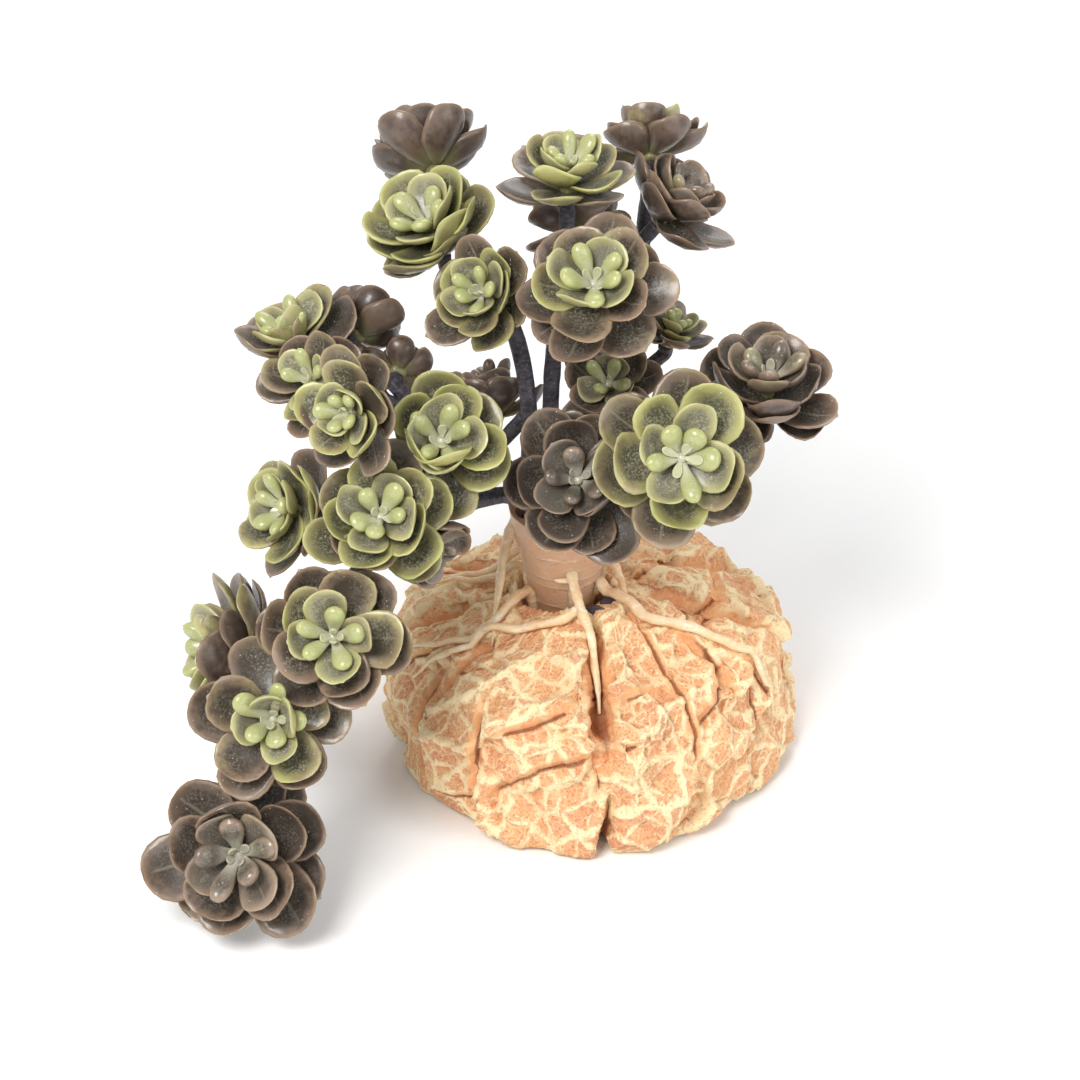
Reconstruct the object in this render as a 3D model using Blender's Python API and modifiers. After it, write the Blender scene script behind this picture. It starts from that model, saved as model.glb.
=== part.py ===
# Potted sedum: leaf rosettes on dark stems, a tan trunk with root strands, and a carved rock base.
# Sizes are in millimetres, turned to metres by MM as each mesh is made. The rock stands on z = 0.

import math

import bmesh
import bpy
import numpy as np
from mathutils import Matrix, Vector
from mathutils.bvhtree import BVHTree

MM = 0.001
SEED = 41
GAP = 0.3
SHARP_FROM = math.radians(50.0)

ROCK_RADIUS = 50.5
ROCK_HEIGHT = 44.0
ROCK_WAIST = 14.0
# The bun's outline: powers of its half width and its rise, and its reach below the waist with no
# floor to cut it, as a share of the waist's height.
WIDTH_POWER = 0.60
RISE_POWER = 0.78
FOOT_POWER = 0.80
FOOT_SHARE = 1.3
ROCK_RINGS = 14
LOBES = (
    # waves round the rock, share of its reach, start
    (3.0, 0.030, 0.6),
    (5.0, 0.022, 2.3),
)
SHOULDER_FACING = 74.0
SHOULDER_SPREAD = 92.0
SHOULDER_SWELL = 0.13
SHOULDER_RISE = 7.0
CLEFTS = (
    # facing in degrees, depth, half width, how far it runs in towards the hole
    (273.5, 8.0, 3.8, 10.0),
    (359.0, 8.0, 3.4, 9.0),
    (41.0, 4.5, 2.4, 16.0),
    (92.0, 6.0, 2.6, 11.0),
    (139.0, 6.0, 2.6, 11.0),
    (178.0, 5.5, 2.6, 10.0),
    (213.0, 3.6, 2.2, 22.0),
    (326.0, 3.4, 2.2, 24.0),
)
CLEFT_START = 8.0
CLEFT_EDGE = 4.0
LOBE_PARTS = (0.15, 0.33, 0.5, 0.67, 0.85)
CHISEL_SLOPES = (68.0, 31.0, 4.0)
CHISEL_SIDES = (-0.24, 0.22)
CHISEL_SHARES = (0.86, 0.96)
CHISEL_SCATTER = 5.0

HOLE_AT = (-6.0, 2.0)
HOLE_RADIUS = 7.8
HOLE_FLOOR = 24.0
HOLE_MOUTH = 11.0
HOLE_DRAFT = 0.4
HOLE_STRAIGHT = 9.0
MOUTH_OVER = 4.0
TRUNK_PROFILE = ((24.3, 6.8), (38.0, 7.4), (46.0, 8.9), (54.0, 10.3), (61.0, 12.1), (66.0, 12.8))
TRUNK_SIDES = 16

STEM_RADIUS = 2.0
TWIG_RADIUS = 1.7
STEM_THINNING = 0.3
TWIG_LEAD = 5.5
STEM_SIDES = 6
TWIG_SIDES = 4
SOCKET_REACH = 11.0
SOCKET_RADIUS = 2.4
SOCKET_SIDES = 8
HEART_RISE = 6.5
NUB_RADIUS = 2.2
CORE_RADIUS = 1.6
CORE_HEIGHT = 8.0
CORE_SIDES = 6
NOMINAL_REACH = 13.0

WHORLS = (
    # leaves, root height, length, width, thickness, rise, curl, cup
    (5, 1.7, 14.8, 11.4, 1.3, 2.0, 34.0, 0.22),
    (5, 4.0, 13.0, 10.0, 1.3, 15.0, 36.0, 0.22),
    (3, 6.0, 10.0, 8.4, 1.3, 30.0, 34.0, 0.22),
    (3, 7.4, 6.4, 3.6, 2.2, 50.0, 6.0, 0.0),
)
SMALL_REACH = 12.6
LEAF_SCATTER = (0.06, 0.3, 0.07, 0.06, 6.0)
LEAF_OUT = 0.4
THINNEST_SHARE = 0.85
LEAF_WIDEST = 0.62
LEAF_FOOT = 0.30
LEAF_SHOULDER = 1.4
EDGE_FILL = 1.6
ROOT_CROWDING = 1.9
TIP_THINNING = 0.45
KEEL_TURN = math.radians(60.0)
RIM_REACH = 1.155
FOLD_STEPS = (0, 9, 18, 28, 38, 48, -9, -18)
SHRINK_STEPS = (1.0, 0.86, 0.72)
CLEARANCE = 0.35

ROSETTES = (
    # name, x, y, z of its heart, reach, facing azimuth and elevation, turn, closing
    ("rosette_01", -37, 38, 138, 15.0, 112, 36, 10, 14),
    ("rosette_02", -36, 14, 131, 16.0, -150, 68, 40, 8),
    ("rosette_03", -24, -4, 124, 13.0, -126, 41, 20, 10),
    ("rosette_04", 0, -16, 133, 16.0, -95, 54, 0, 2),
    ("rosette_05", -5, 6, 149, 14.0, -10, 87, 30, 6),
    ("rosette_06", 13, 36, 142, 12.5, 90, 44, 15, 4),
    ("rosette_07", 19, 20, 134, 14.0, 3, 52, 50, 8),
    ("rosette_08", 19, 22, 100, 8.5, 1, 69, 0, 10),
    ("rosette_09", 39, -4, 101, 16.5, -90, 79, 18, 4),
    ("rosette_10", 4, 6, 95, 12.5, -99, 51, 60, 6),
    ("rosette_11", 19, -28, 97, 18.0, -83, 37, 8, 0),
    ("rosette_12", -3, -20, 86, 17.0, -98, 40, 44, 4),
    ("rosette_13", -33, -23, 98, 16.0, -84, 46, 25, 12),
    ("rosette_14", -23, 12, 88, 12.5, 100, 50, 5, 14),
    ("rosette_15", -67, 8, 106, 14.5, -174, 69, 12, 6),
    ("rosette_16", -53, 16, 105, 11.5, 81, 13, 33, 10),
    ("rosette_17", -62, -4, 102, 12.0, -120, 45, 28, 8),
    ("rosette_18", -52, -30, 110, 13.0, -124, 26, 50, 12),
    ("rosette_19", -44, 12, 96, 8.0, 90, 7, 0, 8),
    ("rosette_20", -67, -24, 81, 14.0, -147, 27, 22, 6),
    ("rosette_21", -46, -38, 88, 15.5, -90, 49, 14, 4),
    ("rosette_22", -81, -38, 53, 17.5, -172, 9, 0, 8),
    ("rosette_23", -56, -54, 68, 16.0, -86, 37, 36, 2),
    ("rosette_24", -69, -62, 52, 16.0, -94, 34, 55, 0),
    ("rosette_25", -77, -72, 23, 19.0, -97, 28, 9, 2),
    ("rosette_26", -4, 17, 132, 11.0, 100, 30, 0, 0),
    ("rosette_27", -36, -32, 77, 11.0, -55, -11, 0, 0),
    ("rosette_28", 3, 44, 98, 12.0, 80, 35, 20, 4),
    ("rosette_29", -30, 30, 74, 11.0, 110, 25, 45, 4),
)
BROWN_ROSETTES = (
    "rosette_01", "rosette_06", "rosette_07", "rosette_09", "rosette_12", "rosette_14", "rosette_16",
    "rosette_19", "rosette_25", "rosette_26", "rosette_27",
)

STEMS = (
    # name, route from its socket, the rosette it ends in, and for each twig its rosette and route point
    (
        "stem_1",
        ((-13.5, 4.7, 61.3), (-14.0, 4.6, 72.0), (-14.0, 2.6, 90.0), (-16.0, 2.4, 106.0),
         (-21.0, 8.0, 119.0), (-28.0, 17.0, 127.0)),
        "rosette_01",
        (("rosette_02", 4), ("rosette_03", 3), ("rosette_14", 2)),
    ),
    (
        "stem_2",
        ((-0.9, 8.1, 61.3), (-0.4, 9.0, 71.0), (4.0, 16.0, 86.0), (9.0, 24.0, 104.0), (11.5, 27.0, 118.0),
         (12.5, 27.5, 129.0)),
        "rosette_06",
        (("rosette_07", 4), ("rosette_08", 2), ("rosette_10", 1), ("rosette_28", 2)),
    ),
    (
        "stem_3",
        ((-8.7, 9.5, 61.3), (-9.2, 9.4, 73.0), (-9.0, 7.0, 92.0), (-8.0, 6.0, 108.0), (-5.5, 5.0, 124.0)),
        "rosette_05",
        (("rosette_04", 3), ("rosette_26", 3)),
    ),
    (
        "stem_4",
        ((1.9, 0.6, 61.3), (3.4, 0.2, 70.0), (13.0, -1.0, 77.0), (25.0, -2.0, 82.0), (34.0, -2.0, 87.0)),
        "rosette_09",
        (("rosette_11", 2), ("rosette_12", 1)),
    ),
    (
        "stem_5",
        ((-13.3, -1.4, 61.3), (-15.0, -1.8, 71.0), (-22.0, -2.0, 81.0), (-34.0, -1.0, 88.0),
         (-46.0, 2.0, 93.0), (-58.0, 6.0, 97.0)),
        "rosette_15",
        (("rosette_13", 2), ("rosette_19", 3), ("rosette_16", 4), ("rosette_17", 4),
         ("rosette_18", 3), ("rosette_29", 1)),
    ),
    (
        "stem_6",
        ((-8.1, -5.7, 61.3), (-10.0, -8.0, 70.0), (-20.0, -12.0, 77.0), (-34.0, -19.0, 76.0),
         (-46.0, -24.0, 70.0), (-56.0, -28.0, 62.0), (-63.0, -33.0, 50.0), (-67.0, -41.0, 36.0),
         (-74.0, -50.0, 20.0)),
        "rosette_25",
        (("rosette_27", 3), ("rosette_21", 3), ("rosette_20", 4), ("rosette_23", 5),
         ("rosette_22", 6), ("rosette_24", 7)),
    ),
)

ROOTS = (
    # radius at the trunk, then x, y and height above the rock along its route
    (1.25, ((-15.0, 1.6, 21.0), (-18.0, 1.0, 15.5), (-20.0, -1.0, 9.0), (-21.0, -6.0, 3.0),
            (-22.5, -15.0, 0.0))),
    (1.1, ((-10.5, 0.0, 4.0), (-15.2, -4.6, 1.4), (-20.0, -10.4, 0.2), (-25.0, -14.6, 0.0),
           (-33.0, -16.6, 0.0), (-41.0, -13.6, 0.0))),
    (1.1, ((-2.9, -13.2, 3.0), (-6.0, -15.4, 1.0), (-14.0, -15.0, 0.0), (-24.0, -14.4, 0.4),
           (-34.0, -13.0, 0.0), (-42.5, -8.0, 0.0))),
    (1.0, ((-11.0, 5.0, 9.0), (-18.0, 8.0, 4.0), (-26.0, 13.0, 0.0), (-35.0, 19.0, 0.0))),
    (1.0, ((-11.0, 5.0, 3.0), (-18.0, 7.0, 1.0), (-27.0, 10.0, 0.0), (-37.0, 15.0, 0.0))),
    (1.3, ((-4.6, -4.0, 7.0), (-4.3, -8.0, 6.4), (-3.4, -11.5, 4.2), (-2.1, -15.3, 1.4), (0.0, -19.8, 0.0),
           (1.6, -26.0, 0.0), (2.0, -31.0, 0.0))),
    (1.3, ((-1.0, 2.0, 12.0), (3.6, 0.4, 9.5), (6.6, -2.0, 4.5), (8.4, -6.0, 0.0))),
    (1.5, ((-1.0, 0.5, 3.4), (3.2, -3.0, 1.6), (8.8, -8.6, 0.2), (16.0, -11.4, 0.0), (25.0, -13.0, 0.0),
           (34.0, -15.6, 0.0), (40.5, -13.8, 0.0), (44.5, -9.0, 0.0))),
)
ROOT_CLEAR = 0.45
ROOT_THINNING = 0.75
ROOT_SIDES = 4
RAY_TOP = 200.0
FRONT_TILT = math.radians(34.0)


def clear_scene():
    for obj in list(bpy.data.objects):
        bpy.data.objects.remove(obj, do_unlink=True)


def new_collection(name, hidden=False):
    made = bpy.data.collections.new(name)
    bpy.context.scene.collection.children.link(made)
    made.hide_render = hidden
    return made


def material(name, color, roughness):
    made = bpy.data.materials.new(name)
    made.use_nodes = True
    shader = made.node_tree.nodes["Principled BSDF"]
    shader.inputs["Base Color"].default_value = (*color, 1.0)
    shader.inputs["Roughness"].default_value = roughness
    shader.inputs["Metallic"].default_value = 0.0
    return made


def paint(obj, look):
    obj.data.materials.clear()
    obj.data.materials.append(look)


def object_from_bmesh(name, shape, collection):
    bmesh.ops.recalc_face_normals(shape, faces=shape.faces)
    mesh = bpy.data.meshes.new(name)
    shape.to_mesh(mesh)
    shape.free()
    obj = bpy.data.objects.new(name, mesh)
    collection.objects.link(obj)
    return obj


def move_points(shape, points):
    for vert, point in zip(shape.verts, points):
        vert.co = Vector(point) * MM


def points_of(shape):
    return np.array([vert.co for vert in shape.verts])


def tree_of(obj):
    # The object's surface in millimetres, for rays and overlap tests.
    mesh = obj.data
    corners = [tuple(vert.co / MM) for vert in mesh.vertices]
    return BVHTree.FromPolygons(corners, [tuple(face.vertices) for face in mesh.polygons])


def as_mesh(obj, weld=True):
    # A curve, or a mesh with modifiers, becomes a plain mesh under the same name.
    graph = bpy.context.evaluated_depsgraph_get()
    mesh = bpy.data.meshes.new_from_object(obj.evaluated_get(graph))
    shape = bmesh.new()
    shape.from_mesh(mesh)
    if weld:
        bmesh.ops.remove_doubles(shape, verts=shape.verts, dist=1e-6)
        bmesh.ops.recalc_face_normals(shape, faces=shape.faces)
    shape.to_mesh(mesh)
    shape.free()
    name = obj.name
    collection = obj.users_collection[0]
    turned = obj.matrix_world.copy()
    bpy.data.objects.remove(obj, do_unlink=True)
    made = bpy.data.objects.new(name, mesh)
    made.matrix_world = turned
    collection.objects.link(made)
    return made


def boolean(obj, held, operation, solver="EXACT"):
    # A Boolean of the object with all that a collection holds, applied.
    made = obj.modifiers.new(operation.lower(), "BOOLEAN")
    made.operation = operation
    made.operand_type = "COLLECTION"
    made.collection = held
    made.solver = solver
    bpy.context.view_layer.update()
    return as_mesh(obj, weld=False)


def fused(obj, others, solver="EXACT"):
    # The object and its repeats as one body. The repeats are removed.
    held = new_collection("held")
    for other in others:
        for old in list(other.users_collection):
            old.objects.unlink(other)
        held.objects.link(other)
    joined = boolean(obj, held, "UNION", solver)
    for other in list(held.objects):
        bpy.data.objects.remove(other, do_unlink=True)
    bpy.data.collections.remove(held)
    return joined


def rounded(obj):
    obj.data.shade_smooth()
    obj.data.set_sharp_from_angle(angle=SHARP_FROM)


def smooth_route(route, spans):
    # A Catmull-Rom curve through the route's points, with this many spans between two of them.
    points = [np.array(point, float) for point in route]
    ends = [2 * points[0] - points[1]] + points + [2 * points[-1] - points[-2]]
    made = []
    for i in range(1, len(ends) - 2):
        before, first, last, after = ends[i - 1 : i + 3]
        for step in range(spans):
            t = step / spans
            made.append(
                0.5
                * (
                    2 * first
                    + (last - before) * t
                    + (2 * before - 5 * first + 4 * last - after) * t**2
                    + (3 * first - before - 3 * last + after) * t**3
                )
            )
    return made + [points[-1]]


def tube(name, points, radii, sides, collection):
    # A round strand along the points, as a curve with a bevel, then made a mesh.
    data = bpy.data.curves.new(name, "CURVE")
    data.dimensions = "3D"
    data.bevel_depth = MM
    data.bevel_resolution = sides // 2 - 2
    data.use_fill_caps = True
    line = data.splines.new("POLY")
    line.points.add(len(points) - 1)
    for spot, point, radius in zip(line.points, points, radii):
        spot.co = (*(Vector(point) * MM), 1.0)
        spot.radius = radius
    obj = bpy.data.objects.new(name, data)
    collection.objects.link(obj)
    bpy.context.view_layer.update()
    return as_mesh(obj)


def turned(name, profile, sides, at, collection):
    # A profile of (height, radius) points turned about a vertical axis at this place.
    shape = bmesh.new()
    rim = [(0.0, profile[-1][0])] + [(radius, height) for height, radius in reversed(profile)]
    rim.append((0.0, profile[0][0]))
    verts = [shape.verts.new((radius * MM, 0.0, height * MM)) for radius, height in rim]
    for first, second in zip(verts, verts[1:]):
        shape.edges.new((first, second))
    mesh = bpy.data.meshes.new(name)
    shape.to_mesh(mesh)
    shape.free()
    obj = bpy.data.objects.new(name, mesh)
    collection.objects.link(obj)
    screw = obj.modifiers.new("turn", "SCREW")
    screw.steps = sides
    screw.render_steps = sides
    screw.use_merge_vertices = True
    screw.merge_threshold = 1e-6
    bpy.context.view_layer.update()
    made = as_mesh(obj)
    made.data.transform(Matrix.Translation((at[0] * MM, at[1] * MM, 0.0)))
    return made


def cleft_depth(facing, reach):
    # How far the clefts sink the rock at a facing in degrees and a distance from its middle.
    sunk = np.zeros_like(reach)
    for middle, depth, half, inner in CLEFTS:
        aside = np.abs((facing - middle + 180.0) % 360.0 - 180.0)
        across = np.radians(aside) * reach
        start = np.clip((reach - inner) / CLEFT_START, 0.0, 1.0)
        sunk = np.maximum(sunk, depth * start * np.clip(1.0 - across / half, 0.0, 1.0))
    return sunk


def chisel_planes():
    # Flat cuts on each lobe, two beside each other at three slopes: a direction, and the share of the
    # rock's reach that way that is left.
    rng = np.random.default_rng(SEED)
    middles = sorted(cleft[0] for cleft in CLEFTS)
    planes = []
    for first, last in zip(middles, middles[1:] + [middles[0] + 360.0]):
        for slope in CHISEL_SLOPES:
            for side in CHISEL_SIDES:
                turn, lean = CHISEL_SCATTER * rng.standard_normal(2)
                facing = math.radians(0.5 * (first + last) + side * (last - first) + turn)
                tilt = math.radians(slope + lean)
                level = math.cos(tilt)
                way = (level * math.cos(facing), level * math.sin(facing), math.sin(tilt))
                planes.append((*way, rng.uniform(*CHISEL_SHARES)))
    return planes


def rock_surface(ways):
    # Maps directions on a unit sphere to the rock: a bun with lobes, chisel cuts and clefts.
    level = np.hypot(ways[:, 0], ways[:, 1])
    facing = np.arctan2(ways[:, 1], ways[:, 0])
    up = ways[:, 2]
    flat = level**WIDTH_POWER
    lobes = 1.0 + sum(share * np.sin(waves * facing + start) for waves, share, start in LOBES)
    aside = (facing - math.radians(SHOULDER_FACING) + math.pi) % (2.0 * math.pi) - math.pi
    shoulder = np.cos(np.clip(aside / math.radians(SHOULDER_SPREAD), -1.0, 1.0) * 0.5 * math.pi)
    reach = ROCK_RADIUS * flat * (lobes + SHOULDER_SWELL * shoulder)
    above = (ROCK_HEIGHT - ROCK_WAIST + SHOULDER_RISE * shoulder * level) * np.abs(up) ** RISE_POWER
    rise = np.where(up > 0.0, above, -ROCK_WAIST * FOOT_SHARE * np.abs(up) ** FOOT_POWER)
    points = np.stack(
        [reach * np.cos(facing), reach * np.sin(facing), ROCK_WAIST + rise],
        axis=1,
    )
    middle = np.array([0.0, 0.0, ROCK_WAIST])
    for x, y, z, share in chisel_planes():
        way = np.array([x, y, z])
        along = (points - middle) @ way
        over = np.maximum(along - share * along.max(), 0.0)
        points -= over[:, None] * way
    sunk = cleft_depth(np.degrees(facing), np.hypot(points[:, 0], points[:, 1]))
    inward = np.stack([-np.cos(facing) * flat, -np.sin(facing) * flat, -np.clip(up, 0.0, 1.0)], axis=1)
    inward[level < 1e-4, 2] = -1.0
    inward /= np.linalg.norm(inward, axis=1)[:, None]
    return points + inward * sunk[:, None]


def rock_meridians():
    # Eight meridians for each cleft: its middle, both its edges and five over the lobe beside it.
    middles = sorted(cleft[0] for cleft in CLEFTS)
    made = []
    for middle, following in zip(middles, middles[1:] + [middles[0] + 360.0]):
        made += [middle - CLEFT_EDGE, middle, middle + CLEFT_EDGE]
        span = following - middle - 2.0 * CLEFT_EDGE
        made += [middle + CLEFT_EDGE + span * part for part in LOBE_PARTS]
    return [math.radians(angle) for angle in made]


def rock_body(collection):
    meridians = rock_meridians()
    shape = bmesh.new()
    bmesh.ops.create_uvsphere(shape, u_segments=len(meridians), v_segments=ROCK_RINGS, radius=1.0)
    ways = points_of(shape)
    step = 2.0 * math.pi / len(meridians)
    for way in ways:
        level = math.hypot(way[0], way[1])
        if level > 1e-4:
            angle = meridians[round(math.atan2(way[1], way[0]) / step) % len(meridians)]
            way[0] = level * math.cos(angle)
            way[1] = level * math.sin(angle)
    move_points(shape, rock_surface(ways))
    cut = bmesh.ops.bisect_plane(
        shape,
        geom=shape.verts[:] + shape.edges[:] + shape.faces[:],
        plane_co=(0.0, 0.0, 0.0),
        plane_no=(0.0, 0.0, -1.0),
        clear_outer=True,
    )
    rim = [edge for edge in cut["geom_cut"] if isinstance(edge, bmesh.types.BMEdge)]
    bmesh.ops.edgeloop_fill(shape, edges=rim)
    return object_from_bmesh("rock_base", shape, collection)


def rock_base(body, cutters):
    mouth = (
        (HOLE_FLOOR, HOLE_RADIUS - HOLE_DRAFT),
        (HOLE_FLOOR + HOLE_STRAIGHT, HOLE_RADIUS),
        (ROCK_HEIGHT + MOUTH_OVER, HOLE_MOUTH),
    )
    turned("hole", mouth, TRUNK_SIDES, HOLE_AT, cutters).display_type = "WIRE"
    return boolean(body, cutters, "DIFFERENCE")


def height_on(tree, x, y):
    found = tree.ray_cast(Vector((x, y, RAY_TOP)), Vector((0.0, 0.0, -1.0)))
    return found[0].z if found[0] else 0.0


def root_strand(number, radius, route, ground, collection):
    # Each point clears the highest rock under the strand, from halfway to the last point to halfway to the
    # next.
    line = smooth_route(route, 2)
    points = []
    radii = []
    for i, (x, y, lift) in enumerate(line):
        thick = radius * (1.0 - ROOT_THINNING * (i / (len(line) - 1)) ** 3)
        corners = [(a, b) for a in (-thick, thick) for b in (-thick, thick)]
        last, following = line[max(i - 1, 0)], line[min(i + 1, len(line) - 1)]
        near = []
        for part in (-0.5, -0.25, 0.0, 0.25, 0.5):
            other = last if part < 0.0 else following
            spot = line[i] + (other - line[i]) * abs(part)
            near += [height_on(ground, spot[0] + a, spot[1] + b) for a, b in corners]
        points.append((x, y, max(near) + thick + ROOT_CLEAR + max(lift, 0.0)))
        radii.append(thick)
    return tube(f"root_{number}", points, radii, ROOT_SIDES, collection)


def trunk_with_roots(ground, cutters, collection):
    trunk = turned("trunk_roots", TRUNK_PROFILE, TRUNK_SIDES, HOLE_AT, collection)
    strands = [
        root_strand(number, radius, route, ground, collection)
        for number, (radius, route) in enumerate(ROOTS)
    ]
    for name, route, _, _ in STEMS:
        socket(name, route, cutters)
    return boolean(fused(trunk, strands), cutters, "DIFFERENCE")


def socket(name, route, cutters):
    # A round hole in the trunk's top that follows the first stretch of a stem.
    foot = np.array(route[0])
    way = np.array(route[1]) - foot
    way /= np.linalg.norm(way)
    points = [foot - way * GAP, foot + way * SOCKET_REACH]
    tube(f"socket_{name}", points, [SOCKET_RADIUS] * 2, SOCKET_SIDES, cutters).display_type = "WIRE"


def rosette_frame(row):
    # The seat of a rosette's nub, and a matrix that turns its own +Z to its facing.
    x, y, z, reach, azimuth, elevation, turn = row[1:8]
    around, over = math.radians(azimuth), math.radians(elevation)
    axis = Vector((math.cos(over) * math.cos(around), math.cos(over) * math.sin(around), math.sin(over)))
    size = reach / NOMINAL_REACH
    seat = Vector((x, y, z)) - axis * (HEART_RISE * size)
    spin = axis.to_track_quat("Z", "Y").to_matrix() @ Matrix.Rotation(math.radians(turn), 3, "Z")
    return seat, axis, spin, size


def stem(name, route, last, twigs, rows, collection):
    seat, axis, _, size = rosette_frame(rows[last])
    ends = [tuple(seat - axis * (TWIG_LEAD * size)), tuple(seat - axis * GAP)]
    line = list(route) + ends
    radii = [STEM_RADIUS - STEM_THINNING * (i / (len(line) - 1)) for i in range(len(line))]
    main = tube(name, line, radii, STEM_SIDES, collection)
    sides = []
    for rosette, from_point in twigs:
        seat, axis, _, size = rosette_frame(rows[rosette])
        way = [route[from_point], tuple(seat - axis * (TWIG_LEAD * size)), tuple(seat - axis * GAP)]
        sides.append(tube(f"twig_{rosette}", way, [TWIG_RADIUS] * len(way), TWIG_SIDES, collection))
    return fused(main, sides)


def leaf_ring(leaf, ways):
    # Maps directions on a unit sphere to a leaf: its length is an arc that rises from root to tip, its
    # width swells to a round end, its sides lift as a cup, and it thins towards the rim and the tip.
    turn, out, height, length, width, thick, rise, curl, cup = leaf
    along = 1.0 - (1.0 - np.arccos(np.clip(-ways[:, 2], -1.0, 1.0)) / math.pi) ** ROOT_CROWDING
    level = np.hypot(ways[:, 0], ways[:, 1])
    safe = np.maximum(level, 1e-9)
    across, upright = np.clip(ways[:, 0] / safe * RIM_REACH, -1.0, 1.0), ways[:, 1] / safe
    swell = np.sin(0.5 * math.pi * np.clip(along / LEAF_WIDEST, 0.0, 1.0)) ** LEAF_SHOULDER
    beyond = (along - LEAF_WIDEST) / (1.0 - LEAF_WIDEST)
    spread = np.where(
        along < LEAF_WIDEST,
        LEAF_FOOT + (1.0 - LEAF_FOOT) * swell,
        np.sqrt(np.clip(1.0 - beyond**2, 0.0, 1.0)),
    )
    closed = np.where(level < 1e-6, 0.0, 1.0)
    half = 0.5 * width * spread * closed
    deep = 0.5 * thick * (1.0 - TIP_THINNING * along) * np.minimum(spread * EDGE_FILL, 1.0) * closed
    start, bend = math.radians(rise), math.radians(curl) + 1e-6
    angle = start + bend * along
    run = length / bend * (np.sin(angle) - math.sin(start))
    climb = length / bend * (math.cos(start) - np.cos(angle))
    side = half * across
    lift = deep * upright + cup * half * across**2
    x = out + run - np.sin(angle) * lift
    z = height + climb + np.cos(angle) * lift
    cosine, sine = math.cos(turn), math.sin(turn)
    return np.stack([cosine * x - sine * side, sine * x + cosine * side, z], axis=1)


def leaf_ball():
    # The unit sphere that every leaf is shaped from, three-sided with a keel below: directions and faces.
    shape = bmesh.new()
    bmesh.ops.create_uvsphere(shape, u_segments=3, v_segments=3, radius=1.0)
    keel_down = Matrix.Rotation(KEEL_TURN, 3, "Z")
    bmesh.ops.rotate(shape, verts=shape.verts, cent=(0.0, 0.0, 0.0), matrix=keel_down)
    ways = points_of(shape)
    faces = [tuple(vert.index for vert in face.verts) for face in shape.faces]
    shape.free()
    return ways, faces


def rosette_leaves(row):
    # The leaves of a rosette before they meet a neighbour, whorl by whorl from the outside in. A small
    # rosette has one leaf fewer in each whorl.
    number = int(row[0][-2:])
    size, closing = row[4] / NOMINAL_REACH, row[8]
    rng = np.random.default_rng(SEED + number)
    leaves = []
    offset = 0.0
    for most, height, length, width, thick, rise, curl, cup in WHORLS:
        count = most - 1 if row[4] < SMALL_REACH else most
        offset += math.pi / count
        for i in range(count):
            turn, lift, longer, wider, tip = np.array(LEAF_SCATTER) * rng.uniform(-1.0, 1.0, 5)
            leaves.append(
                (
                    offset + 2.0 * math.pi * i / count + turn,
                    LEAF_OUT * size,
                    (height + lift) * size,
                    length * size * (1.0 + longer),
                    width * size * (1.0 + wider),
                    thick * max(size, THINNEST_SHARE),
                    rise + closing + tip,
                    curl,
                    cup,
                )
            )
    return leaves


def placed(points, seat, spin):
    return points @ np.array(spin).T + np.array(seat)


def inflated(leaf):
    turn, out, height, length, width, thick, rise, curl, cup = leaf
    wider = 2.0 * CLEARANCE
    return turn, out, height, length + CLEARANCE, width + wider, thick + wider, rise, curl, cup


def nearby(low, high, obstacles):
    return [tree for tree, base, top in obstacles if (base < high).all() and (top > low).all()]


def touches(points, faces, obstacles):
    trees = nearby(points.min(axis=0), points.max(axis=0), obstacles)
    if not trees:
        return False
    own = BVHTree.FromPolygons([tuple(point) for point in points], faces)
    return any(own.overlap(tree) for tree in trees)


def obstacle(obj):
    points = np.array([tuple(vert.co) for vert in obj.data.vertices]) / MM
    return tree_of(obj), points.min(axis=0), points.max(axis=0)


def settled_leaf(leaf, ball, seat, spin, obstacles):
    # A leaf that would meet a neighbour folds towards its rosette's axis, then gets shorter. None if that
    # doesn't help.
    turn, out, height, length, width, thick, rise, curl, cup = leaf
    ways, faces = ball
    for share in SHRINK_STEPS:
        for fold in FOLD_STEPS:
            tried = (turn, out, height, length * share, width * share, thick, rise + fold, curl, cup)
            points = placed(leaf_ring(inflated(tried), ways), seat, spin)
            if points[:, 2].min() > CLEARANCE and not touches(points, faces, obstacles):
                return tried
    return None


def rosette_core(row, collection):
    # The nub on the twig and the core that the leaves grow from.
    seat, _, spin, size = rosette_frame(row)
    shape = bmesh.new()
    bmesh.ops.create_cone(
        shape,
        cap_ends=True,
        segments=CORE_SIDES,
        radius1=NUB_RADIUS * MM,
        radius2=CORE_RADIUS * MM,
        depth=CORE_HEIGHT * size * MM,
    )
    bmesh.ops.translate(shape, verts=shape.verts, vec=(0.0, 0.0, 0.5 * CORE_HEIGHT * size * MM))
    obj = object_from_bmesh(row[0], shape, collection)
    obj.data.transform(Matrix.Translation(seat * MM) @ spin.to_4x4())
    return obj


def islands(shape):
    left = set(shape.faces)
    while left:
        found = {left.pop()}
        waiting = list(found)
        while waiting:
            face = waiting.pop()
            for edge in face.edges:
                for other in edge.link_faces:
                    if other in left:
                        left.remove(other)
                        found.add(other)
                        waiting.append(other)
        yield found


def signed_volume(faces):
    total = 0.0
    for face in faces:
        first, *rest = [loop.vert.co for loop in face.loops]
        for second, third in zip(rest, rest[1:]):
            total += first.dot(second.cross(third)) / 6.0
    return total


def keep_outer_skin(obj):
    # A hollow that fusing sealed is filled and a loose scrap is dropped: only the largest skin stays.
    shape = bmesh.new()
    shape.from_mesh(obj.data)
    skins = sorted(islands(shape), key=signed_volume)
    for skin in skins[:-1]:
        bmesh.ops.delete(shape, geom=list(skin), context="FACES")
    shape.to_mesh(obj.data)
    shape.free()
    return obj


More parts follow.
